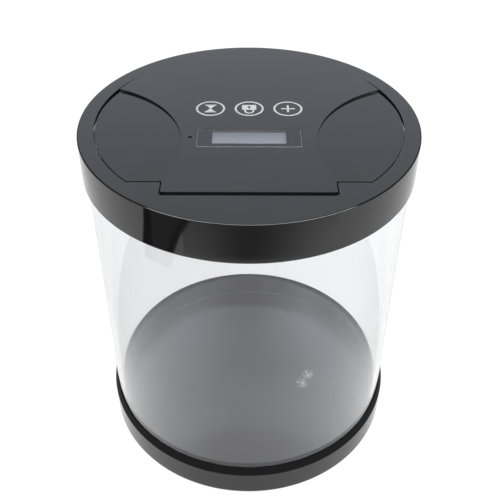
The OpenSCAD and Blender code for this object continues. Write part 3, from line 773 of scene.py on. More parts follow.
@dataclass(frozen=True)
class HazedFloor(Moulding):
    """The floor inside the base, dulled and lightly scuffed by what was kept on it, paler towards the wall, with
    painted light on its right side and darker towards the camera's side.

    Attributes:
        haze: Colour of the dulled areas.
        border: Colour of the paler border towards the wall, which the painted light on the right side also takes.
        border_r: Distance from the middle at which the pale border is full, in metres.
        height: Height of the floor in metres.
        scuffs: Places of the scuffs, with reach and turn.
    """

    haze: Colour = (0.073, 0.075, 0.081)
    border: Colour = (0.165, 0.169, 0.186)
    border_r: float = 0.0865
    height: float = 0.0075
    scuffs: tuple[tuple[float, float, float, float], ...] = ()

    def pale_border_and_light(self, bench: Bench, where: Socket) -> Socket:
        """How much of the border colour a place takes: most to the sides and far off, little near the camera, with
        painted light that gives the right side more than the left.
        """
        x, y = bench.split(where)[:2]
        across = bench.math("ABSOLUTE", x)
        border = bench.math("POWER", bench.math("DIVIDE", across, self.border_r), 1.5)
        far = bench.times(bench.ramp(y, 0.0, 0.055, 0.0, 1.2), bench.ramp(across, 0.04, 0.07, 1.0, 0.0))
        border = bench.times(border, bench.math("ADD", far, 1.0))
        border = bench.times(border, bench.ramp(y, -0.085, -0.04, 0.15, 1.0))
        # Painted light: the right side takes more of the border colour than the left.
        return bench.times(border, bench.ramp(x, -0.05, 0.05, 0.75, 1.05), True)

    def lay(self, bench: Bench, skin: bpy.types.Node, where: Socket) -> None:
        """Wires haze, the pale border with its painted light, and scuffs over the moulded surface."""
        surface = self.surface(bench, where)
        cloud = bench.ramp(bench.noise(where, 16.0, 4.0, 0.55), 0.35, 0.75)
        colour = bench.blend(bench.times(cloud, 0.35), surface["Colour"], tint(self.haze))
        colour = bench.blend(self.pale_border_and_light(bench, where), colour, tint(self.border))
        # The whole floor is darker towards the camera's side.
        colour = bench.scale(colour, bench.ramp(bench.split(where)[1], -0.08, 0.0, 0.58, 1.0))
        rough = surface["Roughness"]
        for x, y, reach, turn in self.scuffs:
            values = {"Vector": where, "Centre": (x, y, self.height), "Reach": reach, "Turn": turn}
            patch = bench.use(Effects.scuff_patch(), values)[0]
            colour = bench.blend(patch, colour, tint(self.speck_colour))
            rough = bench.math("ADD", rough, bench.times(patch, 0.3), True)
        colour = bench.blend(self.scratches(bench, where, 24.0, 0.012), colour, tint(self.haze))
        self.coat(bench, skin, colour, rough, surface["Height"])


@dataclass(frozen=True)
class Acrylic(Finish):
    """Clear acrylic with the faint lines of its extrusion.

    Attributes:
        colour: Tint of the clear stock.
        deep: Tint where it is slightly denser.
        relief: Strength of the extrusion lines.
    """

    colour: Colour = (0.975, 0.98, 0.992)
    deep: Colour = (0.955, 0.96, 0.978)
    relief: float = 0.02

    def lay(self, bench: Bench, skin: bpy.types.Node, where: Socket) -> None:
        """Wires the tint and the faint lines into the shader."""
        lines = bench.noise(bench.stretch(where, (1.0, 1.0, 0.04)), 120.0)
        patch = bench.ramp(bench.noise(where, 9.0, 1.0), 0.3, 0.7)
        colour = bench.blend(patch, tint(self.colour), tint(self.deep))
        bench.feed(skin, {"Base Color": colour, "Roughness": 0.0, "IOR": 1.49, "Transmission Weight": 1.0})
        bench.emboss(skin, lines, self.relief, 0.00002)


@dataclass(frozen=True)
class Metal(Finish):
    """A plated, turned or blackened metal.

    Attributes:
        colour: Colour of the clean metal.
        worn: Colour where it is rubbed or dulled.
        roughness: Roughness of the clean metal.
        stretch: How the working lines are drawn out along X, Y and Z.
    """

    colour: Colour = (0.62, 0.63, 0.65)
    worn: Colour = (0.42, 0.42, 0.43)
    roughness: float = 0.22
    stretch: tuple[float, float, float] = (0.05, 1.0, 1.0)

    def lay(self, bench: Bench, skin: bpy.types.Node, where: Socket) -> None:
        """Wires working lines and dull patches into the shader."""
        lines = bench.noise(bench.stretch(where, self.stretch), 2600.0, 3.0, 0.6)
        patch = bench.ramp(bench.noise(where, 220.0, 3.0), 0.45, 0.8)
        values = {"Vector": where, "Scale": 300.0, "Width": 0.03, "Amount": 0.5}
        rubs = bench.times(bench.use(Effects.fine_scratches(), values)[0], 0.2)
        drawn = bench.ramp(lines, 0.2, 0.8, self.roughness * 0.7, self.roughness * 1.4)
        colour = bench.blend(patch, tint(self.colour), tint(self.worn))
        rough = bench.math("ADD", drawn, rubs, True)
        bench.feed(skin, {"Base Color": colour, "Roughness": rough, "Metallic": 1.0})
        bench.emboss(skin, lines, 0.1, 0.00001)


@dataclass(frozen=True)
class LiquidCrystal(Finish):
    """The reflective face of a blank liquid-crystal display.

    Attributes:
        lit: Painted lit colour near the hinge.
        shaded: Painted shaded colour towards the user, where the frame's wall shades the panel.
        near: Y of the lit end in metres.
        far: Y of the shaded end in metres.
        segment: Width and height of one segment's field in metres.
    """

    lit: Colour = (0.165, 0.18, 0.2)
    shaded: Colour = (0.08, 0.092, 0.11)
    near: float = -0.026
    far: float = -0.011
    segment: Point = (0.0052, 0.0042)

    def segments(self, bench: Bench, where: Socket) -> Socket:
        """Mask of the faint rest image of the segments."""
        black, white = tint((0.0, 0.0, 0.0)), tint((1.0, 1.0, 1.0))
        feeds = {
            "Vector": bench.stretch(where, (1.0, 1.0, 1.0), location=(0.0013, 0.0225, 0.0)),
            "Color1": black,
            "Color2": black,
            "Mortar": white,
            "Scale": 1.0,
            "Mortar Size": 0.00035,
            "Brick Width": self.segment[0],
            "Row Height": self.segment[1],
        }
        bricks = bench.node("ShaderNodeTexBrick", feeds, offset=0.0).outputs["Color"]
        return bench.out("ShaderNodeRGBToBW", {"Color": bricks})

    def lay(self, bench: Bench, skin: bpy.types.Node, where: Socket) -> None:
        """Wires the painted shade, darker towards the user, and the faint rest image of the segments into the shader.
        """
        # Painted shade: the panel darkens from its lit end to its shaded end, where the frame's wall shades it.
        painted_shade = bench.ramp(bench.split(where)[1], self.near, self.far)
        colour = bench.blend(painted_shade, tint(self.lit), tint(self.shaded))
        grain = bench.noise(where, 5000.0)
        colour = bench.blend(bench.times(grain, 0.12), colour, tint((0.12, 0.14, 0.15)))
        colour = bench.blend(bench.times(self.segments(bench, where), 0.05), colour, tint((0.1, 0.11, 0.12)))
        rough = bench.ramp(grain, 0.2, 0.8, 0.3, 0.4)
        bench.feed(skin, {"Base Color": colour, "Roughness": rough, "IOR": 1.45})


@dataclass(frozen=True)
class PrintInk(Finish):
    """A screen-printed ink film, or a highlight painted along an edge.

    Attributes:
        colour: Colour of the full film.
        thin: Colour where the film is thin.
    """

    colour: Colour = (0.72, 0.73, 0.74)
    thin: Colour = (0.5, 0.51, 0.52)

    def lay(self, bench: Bench, skin: bpy.types.Node, where: Socket) -> None:
        """Wires the film's uneven cover and its screen texture into the shader."""
        cover = bench.ramp(bench.noise(where, 1500.0, 3.0, 0.6), 0.3, 0.6)
        mesh = bench.noise(where, 6000.0, 1.0)
        colour = bench.blend(cover, tint(self.thin), tint(self.colour))
        bench.feed(skin, {"Base Color": colour, "Roughness": bench.ramp(mesh, 0.2, 0.8, 0.35, 0.5)})
        bench.emboss(skin, mesh, 0.15, 0.00001)


@dataclass(frozen=True)
class SolderMask(Finish):
    """A circuit board with buried copper tracks.

    Attributes:
        mask: Colour over bare board.
        track: Colour over copper.
    """

    mask: Colour = (0.005, 0.07, 0.025)
    track: Colour = (0.02, 0.16, 0.06)

    def lay(self, bench: Bench, skin: bpy.types.Node, where: Socket) -> None:
        """Wires straight and branching tracks and the mask's sheen into the shader."""
        gap = bench.cells(where, 240.0, "DISTANCE_TO_EDGE").outputs["Distance"]
        branches = bench.ramp(gap, 0.05, 0.09, 1.0, 0.0)
        lanes = bench.math("PINGPONG", bench.times(bench.split(where)[0], 1000.0), 0.9)
        area = bench.ramp(bench.noise(where, 60.0, 1.0), 0.5, 0.52)
        runs = bench.times(bench.ramp(lanes, 0.28, 0.36, 1.0, 0.0), area)
        copper = bench.math("MAXIMUM", runs, bench.times(branches, bench.math("SUBTRACT", 1.0, area)))
        colour = bench.blend(copper, tint(self.mask), tint(self.track))
        rough = bench.ramp(bench.noise(where, 900.0), 0.3, 0.7, 0.25, 0.4)
        bench.feed(skin, {"Base Color": colour, "Roughness": rough})
        bench.emboss(skin, copper, 0.4, 0.00004)


@dataclass(frozen=True)
class CellWrap(Finish):
    """The printed sleeve and the bare ends of the cells.

    Attributes:
        sleeve: Colour of the sleeve.
        band: Colour of the band at the button end.
        steel: Colour of the bare ends.
        rows: Y of the gaps between the cells, in metres.
        band_x: Where the band begins along a cell, in metres.
        bare_x: Where the bare ends begin.
    """

    sleeve: Colour = (0.02, 0.022, 0.03)
    band: Colour = (0.55, 0.3, 0.1)
    steel: Colour = (0.6, 0.6, 0.62)
    rows: Point = (-0.03205, -0.04305)
    band_x: float = 0.0115
    bare_x: float = 0.0212

    def lay(self, bench: Bench, skin: bpy.types.Node, where: Socket) -> None:
        """Wires sleeve, band and bare ends by their place along each cell."""
        x, y = bench.split(where)[:2]
        past = bench.math("GREATER_THAN", y, self.rows[0])
        below = bench.math("LESS_THAN", y, self.rows[1])
        outer = bench.math("MAXIMUM", past, below)
        along = bench.times(x, bench.math("SUBTRACT", bench.times(outer, 2.0), 1.0))
        band = bench.ramp(along, self.band_x, self.band_x + 0.0003)
        bare = bench.ramp(bench.math("ABSOLUTE", x), self.bare_x, self.bare_x + 0.0002)
        mottled = bench.ramp(bench.noise(where, 500.0), 0.3, 0.7)
        band_colour = bench.blend(mottled, tint(self.band), tint(tuple(0.8 * c for c in self.band)))
        colour = bench.blend(band, tint(self.sleeve), band_colour)
        values = {
            "Base Color": bench.blend(bare, colour, tint(self.steel)),
            "Metallic": bench.math("MAXIMUM", bench.times(band, 0.8), bare),
            "Roughness": bench.ramp(mottled, 0.0, 1.0, 0.22, 0.32),
        }
        bench.feed(skin, values)
        bench.emboss(skin, mottled, 0.05, 0.00001)


@dataclass(frozen=True)
class Foam(Finish):
    """Soft conductive foam.

    Attributes:
        colour: Colour of the foam.
        pore: Colour of its pores.
    """

    colour: Colour = (0.09, 0.09, 0.095)
    pore: Colour = (0.02, 0.02, 0.02)

    def lay(self, bench: Bench, skin: bpy.types.Node, where: Socket) -> None:
        """Wires the pores into the shader."""
        cells = bench.cells(where, 1600.0).outputs["Distance"]
        pores = bench.ramp(cells, 0.1, 0.4)
        colour = bench.blend(pores, tint(self.pore), tint(self.colour))
        bench.feed(skin, {"Base Color": colour, "Roughness": bench.ramp(cells, 0.0, 0.6, 0.95, 0.8)})
        bench.emboss(skin, pores, 0.6, 0.0001)


GLOSS_BLACK = Moulding("gloss_black")
RECESS_BLACK = Moulding("recess_black", roughness=0.12, specular=0.42, rubs=0.25)
BASE_BLACK = Moulding("base_black", colour=(0.0125, 0.012, 0.014), roughness=0.08, specular=0.38)
SATIN_BLACK = Moulding(
    "satin_black",
    colour=(0.02, 0.02, 0.021),
    roughness=0.42,
    grain_scale=1600,
    grain=0.00003,
    relief=0.35,
    specks=0.1,
    rubs=0.2,
)
SEALANT = Moulding(
    "matt_sealant",
    colour=(0.008, 0.008, 0.0085),
    roughness=0.6,
    grain_scale=500,
    grain=0.00008,
    relief=0.3,
    specks=0.05,
    rubs=0.0,
    specular=0.06,
)
FLOOR_BLACK = HazedFloor(
    "hazed_floor",
    colour=(0.04, 0.04, 0.042),
    roughness=0.12,
    relief=0.015,
    specks=0.5,
    rubs=0.12,
    speck_colour=(0.5, 0.5, 0.51),
    scuffs=((0.0436, -0.0007, 0.006, 1.1), (0.0386, -0.0087, 0.006, 0.3), (-0.0498, 0.0805, 0.004, 0.4)),
)
RUBBER = Moulding(
    "foot_rubber",
    colour=(0.03, 0.03, 0.03),
    roughness=0.8,
    grain_scale=1200,
    grain=0.00005,
    relief=0.5,
    specks=0.6,
    rubs=0.0,
)
LENS_PRINT = Moulding(
    "lens_print", colour=(0.01, 0.01, 0.012), roughness=0.5, specks=0.05, rubs=0.02, specular=0.0
)
LENS_EDGE = PrintInk("painted_edge_highlight", colour=(0.42, 0.42, 0.43), thin=(0.26, 0.26, 0.27))
CHIP_BLACK = Moulding(
    "chip_black", colour=(0.02, 0.02, 0.02), roughness=0.55, grain_scale=2500, grain=0.00002, relief=0.4, rubs=0.0
)
GEAR_WHITE = Moulding(
    "gear_white",
    colour=(0.72, 0.72, 0.69),
    roughness=0.4,
    grain_scale=1500,
    grain=0.00002,
    relief=0.2,
    speck_colour=(0.3, 0.28, 0.2),
)
BOLT_GREY = Moulding(
    "bolt_grey", colour=(0.13, 0.13, 0.135), roughness=0.38, grain_scale=1800, grain=0.00002, relief=0.3, rubs=0.5
)
GUIDE_GREY = Moulding(
    "guide_grey", colour=(0.05, 0.05, 0.052), roughness=0.45, grain_scale=1600, grain=0.00003, relief=0.3
)
ACRYLIC = Acrylic("clear_acrylic")
LENS_CLEAR = Acrylic("lens_clear", colour=(0.97, 0.975, 0.98), deep=(0.95, 0.957, 0.962), relief=0.005)
STEEL = Metal("bright_steel")
CONTACT = Metal(
    "contact_steel", colour=(0.7, 0.69, 0.66), worn=(0.5, 0.49, 0.47), roughness=0.3, stretch=(1.0, 1.0, 0.05)
)
SCREW_DARK = Metal(
    "dark_screw", colour=(0.09, 0.09, 0.095), worn=(0.2, 0.2, 0.2), roughness=0.35, stretch=(1.0, 1.0, 1.0)
)
BRASS = Metal("gearbox_brass", colour=(0.6, 0.45, 0.2), worn=(0.4, 0.3, 0.15), roughness=0.3)
CRYSTAL = LiquidCrystal("liquid_crystal")
PRINT_WHITE = PrintInk("print_white")
BOARD = SolderMask("solder_mask")
WRAP = CellWrap("cell_wrap")
FOAM = Foam("key_foam")


# ---------------------------------------------------------------- repeats


class Patterns:
    """Geometry node trees for what repeats or follows a path."""

    @staticmethod
    def _open(name: str, inputs: dict) -> tuple[Bench, dict, bpy.types.Node]:
        """Starts a tree that takes and gives geometry and returns its bench, inputs and output node."""
        named = {"Geometry": "Geometry", **inputs, "Finish": "Material"}
        return Bench.group("Geometry", name, named, {"Geometry": "Geometry"})

    @staticmethod
    def _shut(bench: Bench, take: dict, give: bpy.types.Node, result: Socket) -> bpy.types.NodeTree:
        """Ends a tree in real geometry with its finish and returns it."""
        real = bench.out("GeometryNodeRealizeInstances", {0: result})
        bench.feed(give, {0: bench.out("GeometryNodeSetMaterial", {"Geometry": real, "Material": take["Finish"]})})
        return bench.tree

    @classmethod
    @cache
    def ring_of_copies(cls) -> bpy.types.NodeTree:
        """Copies of a shape round the upright axis, each turned with its place.

        Returns:
            The tree.
        """
        inputs = {"Count": 8, "Radius": 0.0, "First Angle": 0.0, "Step": 0.1}
        bench, take, give = cls._open("ring_of_copies", inputs)
        index = bench.out("GeometryNodeInputIndex")
        turn = bench.math("ADD", bench.times(index, take["Step"]), take["First Angle"])
        x, y = (bench.times(bench.math(part, turn), take["Radius"]) for part in ("COSINE", "SINE"))
        spot = {"Count": take["Count"], "Position": bench.join({0: x, 1: y})}
        points = bench.out("GeometryNodePoints", spot)
        feeds = {"Points": points, "Instance": take["Geometry"], "Rotation": bench.join({2: turn})}
        return cls._shut(bench, take, give, bench.out("GeometryNodeInstanceOnPoints", feeds))

    @classmethod
    @cache
    def row_of_copies(cls) -> bpy.types.NodeTree:
        """Copies of a shape in a centred row.

        Returns:
            The tree.
        """
        inputs = {"Count": 3, "Pitch": 10.0, "Direction": (1.0, 0.0, 0.0)}
        bench, take, give = cls._open("row_of_copies", inputs)
        index = bench.out("GeometryNodeInputIndex")
        last = bench.math("SUBTRACT", take["Count"], 1.0)
        step = bench.math("SUBTRACT", index, bench.times(last, 0.5))
        spot = bench.scale(take["Direction"], bench.times(step, take["Pitch"]))
        points = bench.out("GeometryNodePoints", {"Count": take["Count"], "Position": spot})
        feeds = {"Points": points, "Instance": take["Geometry"]}
        return cls._shut(bench, take, give, bench.out("GeometryNodeInstanceOnPoints", feeds))

    @classmethod
    @cache
    def copies_on_points(cls) -> bpy.types.NodeTree:
        """Copies of one object's shape on the points of another, each given a seeded turn.

        Returns:
            The tree.
        """
        bench, take, give = cls._open("copies_on_points", {"Shape": "Object", "Most Turn": 0.0, "Seed": 7})
        shape = bench.node("GeometryNodeObjectInfo", {"Object": take["Shape"]}).outputs["Geometry"]
        chance = {"Max": take["Most Turn"], "Seed": take["Seed"]}
        turn = bench.node("FunctionNodeRandomValue", chance, data_type="FLOAT").outputs[1]
        feeds = {
            "Points": bench.out("GeometryNodeMeshToPoints", {"Mesh": take["Geometry"]}),
            "Instance": shape,
            "Rotation": bench.join({2: turn}),
        }
        return cls._shut(bench, take, give, bench.out("GeometryNodeInstanceOnPoints", feeds))

    @classmethod
    @cache
    def swept_ring(cls) -> bpy.types.NodeTree:
        """A wall with a rectangular section carried round a circle.

        Returns:
            The tree.
        """
        inputs = {"Radius": 91.2, "Wall": 3.0, "Height": 100.0, "Middle": 50.0, "Edge": 0.2, "Steps": 256}
        bench, take, give = cls._open("swept_ring", inputs)
        circle = {"Resolution": take["Steps"], "Radius": take["Radius"]}
        path = bench.out("GeometryNodeCurvePrimitiveCircle", circle)
        path = bench.out("GeometryNodeSetCurveNormal", {"Curve": path}, mode="Z_UP")
        sides = {"Width": take["Wall"], "Height": take["Height"]}
        section = bench.out("GeometryNodeCurvePrimitiveQuadrilateral", sides)
        edges = {"Curve": section, "Radius": take["Edge"], "Count": 3}
        section = bench.out("GeometryNodeFilletCurve", edges, mode="POLY")
        wall = bench.out("GeometryNodeCurveToMesh", {"Curve": path, "Profile Curve": section})
        stood = {"Geometry": wall, "Translation": bench.join({2: take["Middle"]})}
        return cls._shut(bench, take, give, bench.out("GeometryNodeTransform", stood))

    @classmethod
    def run(cls, tree: bpy.types.NodeTree, start: Sketch, finish: Finish, **values: object) -> Sketch:
        """Runs a tree on a shape and keeps the result as a sketch.

        Args:
            tree: The tree.
            start: The shape that it starts from.
            finish: The finish that the tree sets.
            values: The tree's other inputs, with _ for a space in a name.

        Returns:
            The result.
        """
        holder = placed("work", start.mesh())
        step = holder.modifiers.new("pattern", "NODES")
        step.node_group = tree
        given = {key.replace("_", " "): value for key, value in values.items()}
        given["Finish"] = Paintbox.of(finish)
        for socket in tree.interface.items_tree:
            if socket.in_out == "INPUT" and socket.name in given:
                step[socket.identifier] = given[socket.name]
        made = Sketch.of(applied(holder))
        bmesh.ops.recalc_face_normals(made.bm, faces=made.bm.faces[:])
        return made

    @classmethod
    def ring(cls, shape: Sketch, finish: Finish, count: int, radius: float, first: float, step: float) -> Sketch:
        """Copies a shape round the upright axis.

        Args:
            shape: The shape, drawn at the axis.
            finish: The copies' finish.
            count: Number of copies.
            radius: Distance of the copies from the axis.
            first: Heading of the first copy in degrees.
            step: Degrees from one copy to the next.

        Returns:
            The copies.
        """
        turns = {"First_Angle": math.radians(first), "Step": math.radians(step)}
        return cls.run(cls.ring_of_copies(), shape, finish, Count=count, Radius=radius, **turns)

    @classmethod
    def row(cls, shape: Sketch, finish: Finish, count: int, pitch: float) -> Sketch:
        """Copies a shape along X, centred on its own place, and returns the copies."""
        return cls.run(cls.row_of_copies(), shape, finish, Count=count, Pitch=pitch)


# ---------------------------------------------------------------- sub-assemblies


@dataclass
class BaseCup:
    """The moulded base with its floor, tube channel, ribs and rubber pads."""

    shoulder_z: float = 18.0
    rim_z: float = 23.4
    lip_z: float = 23.0
    floor_z: float = 7.5
    under_z: float = 5.0
    stand_off: float = 0.6
    pad_circle: float = 72.0
    pad_r: float = 7.0
    pad_t: float = 1.8

    def profile(self) -> Outline:
        """Half section of the base, with its roundings.

        Returns:
            Points as (radius, height).
        """
        lip_in, lip_out = LIP
        corners = {
            (0, self.under_z): 0,
            (SEAT_R, self.under_z): 0.6,
            (SEAT_R, self.stand_off): 0.3,
            (OUTER_R, self.stand_off): 0.8,
            (OUTER_R, self.shoulder_z): 0.35,
            (SEAT_R + 0.4, self.rim_z): 0.15,
            (SEAT_R, self.rim_z): 0.1,
            (SEAT_R, self.floor_z): 0,
            (lip_out, self.floor_z): 0,
            (lip_out, self.lip_z): 0.3,
            (lip_in, self.lip_z): 0.4,
            (lip_in, self.floor_z): 1.6,
            (0, self.floor_z): 0,
        }
        return rounded(corners)

    def zone(self, middle: Vector, normal: Vector) -> int:
        """The finish of a place on the base: 0 side, 1 inner floor, 2 sealed shoulder, 3 underside."""
        radius = math.hypot(middle.x, middle.y)
        if radius > SEAT_R - 0.3 and middle.z > self.shoulder_z + 0.1 and normal.z > 0.1:
            return 2
        if radius < LIP[0] + 0.1 and middle.z > self.floor_z - 0.5:
            return 1
        return 3 if middle.z < self.under_z + 0.6 and radius < SEAT_R + 0.1 else 0

    def build(self) -> None:
        """Builds the base and its pads."""
        shell = Sketch().lathe(self.profile(), 256)
        half = SEAT_R + 0.4
        rib = Sketch().block((-half, -0.8, self.pad_t), (half, 0.8, self.under_z + SINK))
        ribs = Patterns.ring(rib, SATIN_BLACK, 4, 0.0, 0.0, 45.0)
        inner, outer, top = self.pad_r, self.pad_r + 1, self.under_z + SINK
        seat = {(inner, self.pad_t): 0.2, (outer, self.pad_t): 0.3, (outer, top): 0, (inner, top): 0}
        seats = Patterns.ring(Sketch().lathe(rounded(seat, 2), 48), SATIN_BLACK, 4, self.pad_circle, 45.0, 90.0)
        shell.join(ribs, seats).paint(self.zone)
        finishes = [BASE_BLACK, FLOOR_BLACK, SEALANT, SATIN_BLACK]
        shell.piece("base_shell", Body.CONTAINER, Slot.GLOSS, finishes, "base_cup")
        disc = {(0, 0): 0, (inner, 0): 0.5, (inner, self.pad_t): 0.1, (0, self.pad_t): 0}
        groove = Sketch().lathe([(4.4, -0.5), (5.2, -0.5), (5.2, 0.35), (4.4, 0.35)], 64)
        pad = Sketch().lathe(rounded(disc, 4), 64).combine(Combine.CUT, groove)
        pads = Patterns.ring(pad, RUBBER, 4, self.pad_circle, 45.0, 90.0)
        pads.piece("rubber_pads", Body.CONTAINER, Slot.RUBBER, [RUBBER], "foot_pads")


@dataclass
class ClearTube:
    """The clear wall of the container."""

    inner_r: float = 89.7
    outer_r: float = 92.7
    low: float = 7.5
    high: float = 206.0

    def build(self) -> None:
        """Builds the tube's wall."""
        sizes = {
            "Radius": (self.inner_r + self.outer_r) / 2,
            "Wall": self.outer_r - self.inner_r,
            "Height": self.high - self.low,
            "Middle": (self.high + self.low) / 2,
        }
        wall = Patterns.run(Patterns.swept_ring(), Sketch(), ACRYLIC, **sizes)
        made = wall.piece("tube_wall", Body.CONTAINER, Slot.TUBE, [ACRYLIC], "tube")
        made.visible_shadow = False


@dataclass
class LidCollar:
    """The rim of the lid with its mouth, tube channel, hinge bosses and ledge."""

    low: float = 193.2
    under: float = 214.4
    mouth_r: float = 86.0
    wall_r: float = 88.0
    chord: float = 60.2
    notch_y: float = 71.5
    notch_half: float = 44.2
    boss_l: float = 8.0
    bore_r: float = 1.27

    def rim(self) -> Sketch:
        """The rim and the side in one turned shape, with the mouth and the notch for the hinge tab cut out."""
        corners = {
            (0, self.under): 0,
            (SEAT_R, self.under): 0,
            (SEAT_R, self.low): 0.15,
            (OUTER_R, self.low): 0.4,
            (OUTER_R, TOP): 0.8,
            (0, TOP): 0,
        }
        turned = Sketch().lathe(rounded(corners, 6), 256)
        radii = (0.6, 0.8, 1.2, 1.2, 0.8, 0.6)
        mouth = tabbed(cut_disc(self.mouth_r, self.chord), self.notch_half, self.chord, self.notch_y, radii)
        cut = turned.combine(Combine.CUT, Sketch().prism(mouth, self.under - 1, TOP + 1))

        def at_mouth(a: Vector, b: Vector) -> bool:
            """Whether an edge is on the top of the mouth, where the flap leaves a gap."""
            open_side = min(a.y, b.y) <= 45
            return min(a.z, b.z) > TOP - SINK and math.hypot(a.x, a.y) < 90 and open_side

        return cut.soften(0.1, at_mouth)

    def hinge_walls(self) -> Sketch:
        """The bosses for the pin and the walls along the straight edge."""
        walls = Sketch()
        wall = 2.2
        low, high = TOP - 9, self.under + SINK
        turn = Matrix.Translation((0, *HINGE)) @ Matrix.Rotation(math.pi / 2, 4, "Y")
        for side in (-1, 1):
            near, far = side * self.notch_half, side * (self.notch_half + self.boss_l)
            left, right = min(near, far), max(near, far)
            boss = Sketch().block((left, -self.notch_y, HINGE[1] - 2.6), (right, -self.chord, high))
            bore = Sketch().lathe([(0, -60), (self.bore_r, -60), (self.bore_r, 60), (0, 60)], 32, turn)
            walls.join(boss.combine(Combine.CUT, bore))
            far = side * math.sqrt(self.wall_r**2 - (self.chord + wall) ** 2)
            walls.block((min(near, far), -self.chord - wall, low), (max(near, far), -self.chord, high))
        reach = math.sqrt(self.wall_r**2 - (self.notch_y + wall) ** 2)
        span = min(self.notch_half + self.boss_l, reach)
        return walls.block((-span, -self.notch_y - wall, low), (span, -self.notch_y, high))

    def lips(self) -> Sketch:
        """The lip inside the tube and the ledge under the flap, with the pocket for the bolt."""
        low, high = self.low + 2, self.under + SINK
        corners = {(LIP[0], low): 0.5, (LIP[1], low): 0.7, (LIP[1], high): 0, (LIP[0], high): 0}
        lip = Sketch().lathe(rounded(corners, 3))
        start = math.degrees(math.asin(48 / self.mouth_r))
        plan = arc((0, 0), self.wall_r, start, 180 - start, 96) + arc((0, 0), 84.7, 180 - start, start, 96)
        ledge = Sketch().prism(plan, TOP - 5.2, TOP - 2.8)
        pocket = Sketch().block((-5.3, 83.3, BOLT_GAP[0]), (5.3, 91.0, BOLT_GAP[1]))
        return lip.combine(Combine.CUT, pocket).join(ledge.combine(Combine.CUT, pocket))

    def zone(self, middle: Vector, _normal: Vector) -> int:
        """The finish of a place on the collar: 0 polished outside, 1 satin inside."""
        return 0 if middle.z > self.under + 0.05 or math.hypot(middle.x, middle.y) > SEAT_R + 0.1 else 1

    def build(self) -> None:
        """Builds the collar and dresses the pin."""
        stop = Sketch().block((-1.8, -1.0, 206.0), (1.8, 1.0, self.under + SINK))
        stops = Patterns.ring(stop, SATIN_BLACK, 12, 91.3, 15.0, 30.0)
        whole = self.rim().join(self.hinge_walls(), self.lips(), stops).paint(self.zone)
        whole.piece("collar_shell", Body.CONTAINER, Slot.GLOSS, [GLOSS_BLACK, SATIN_BLACK], "lid_collar")
        dress(SCREW_DARK, "hinge_pin")


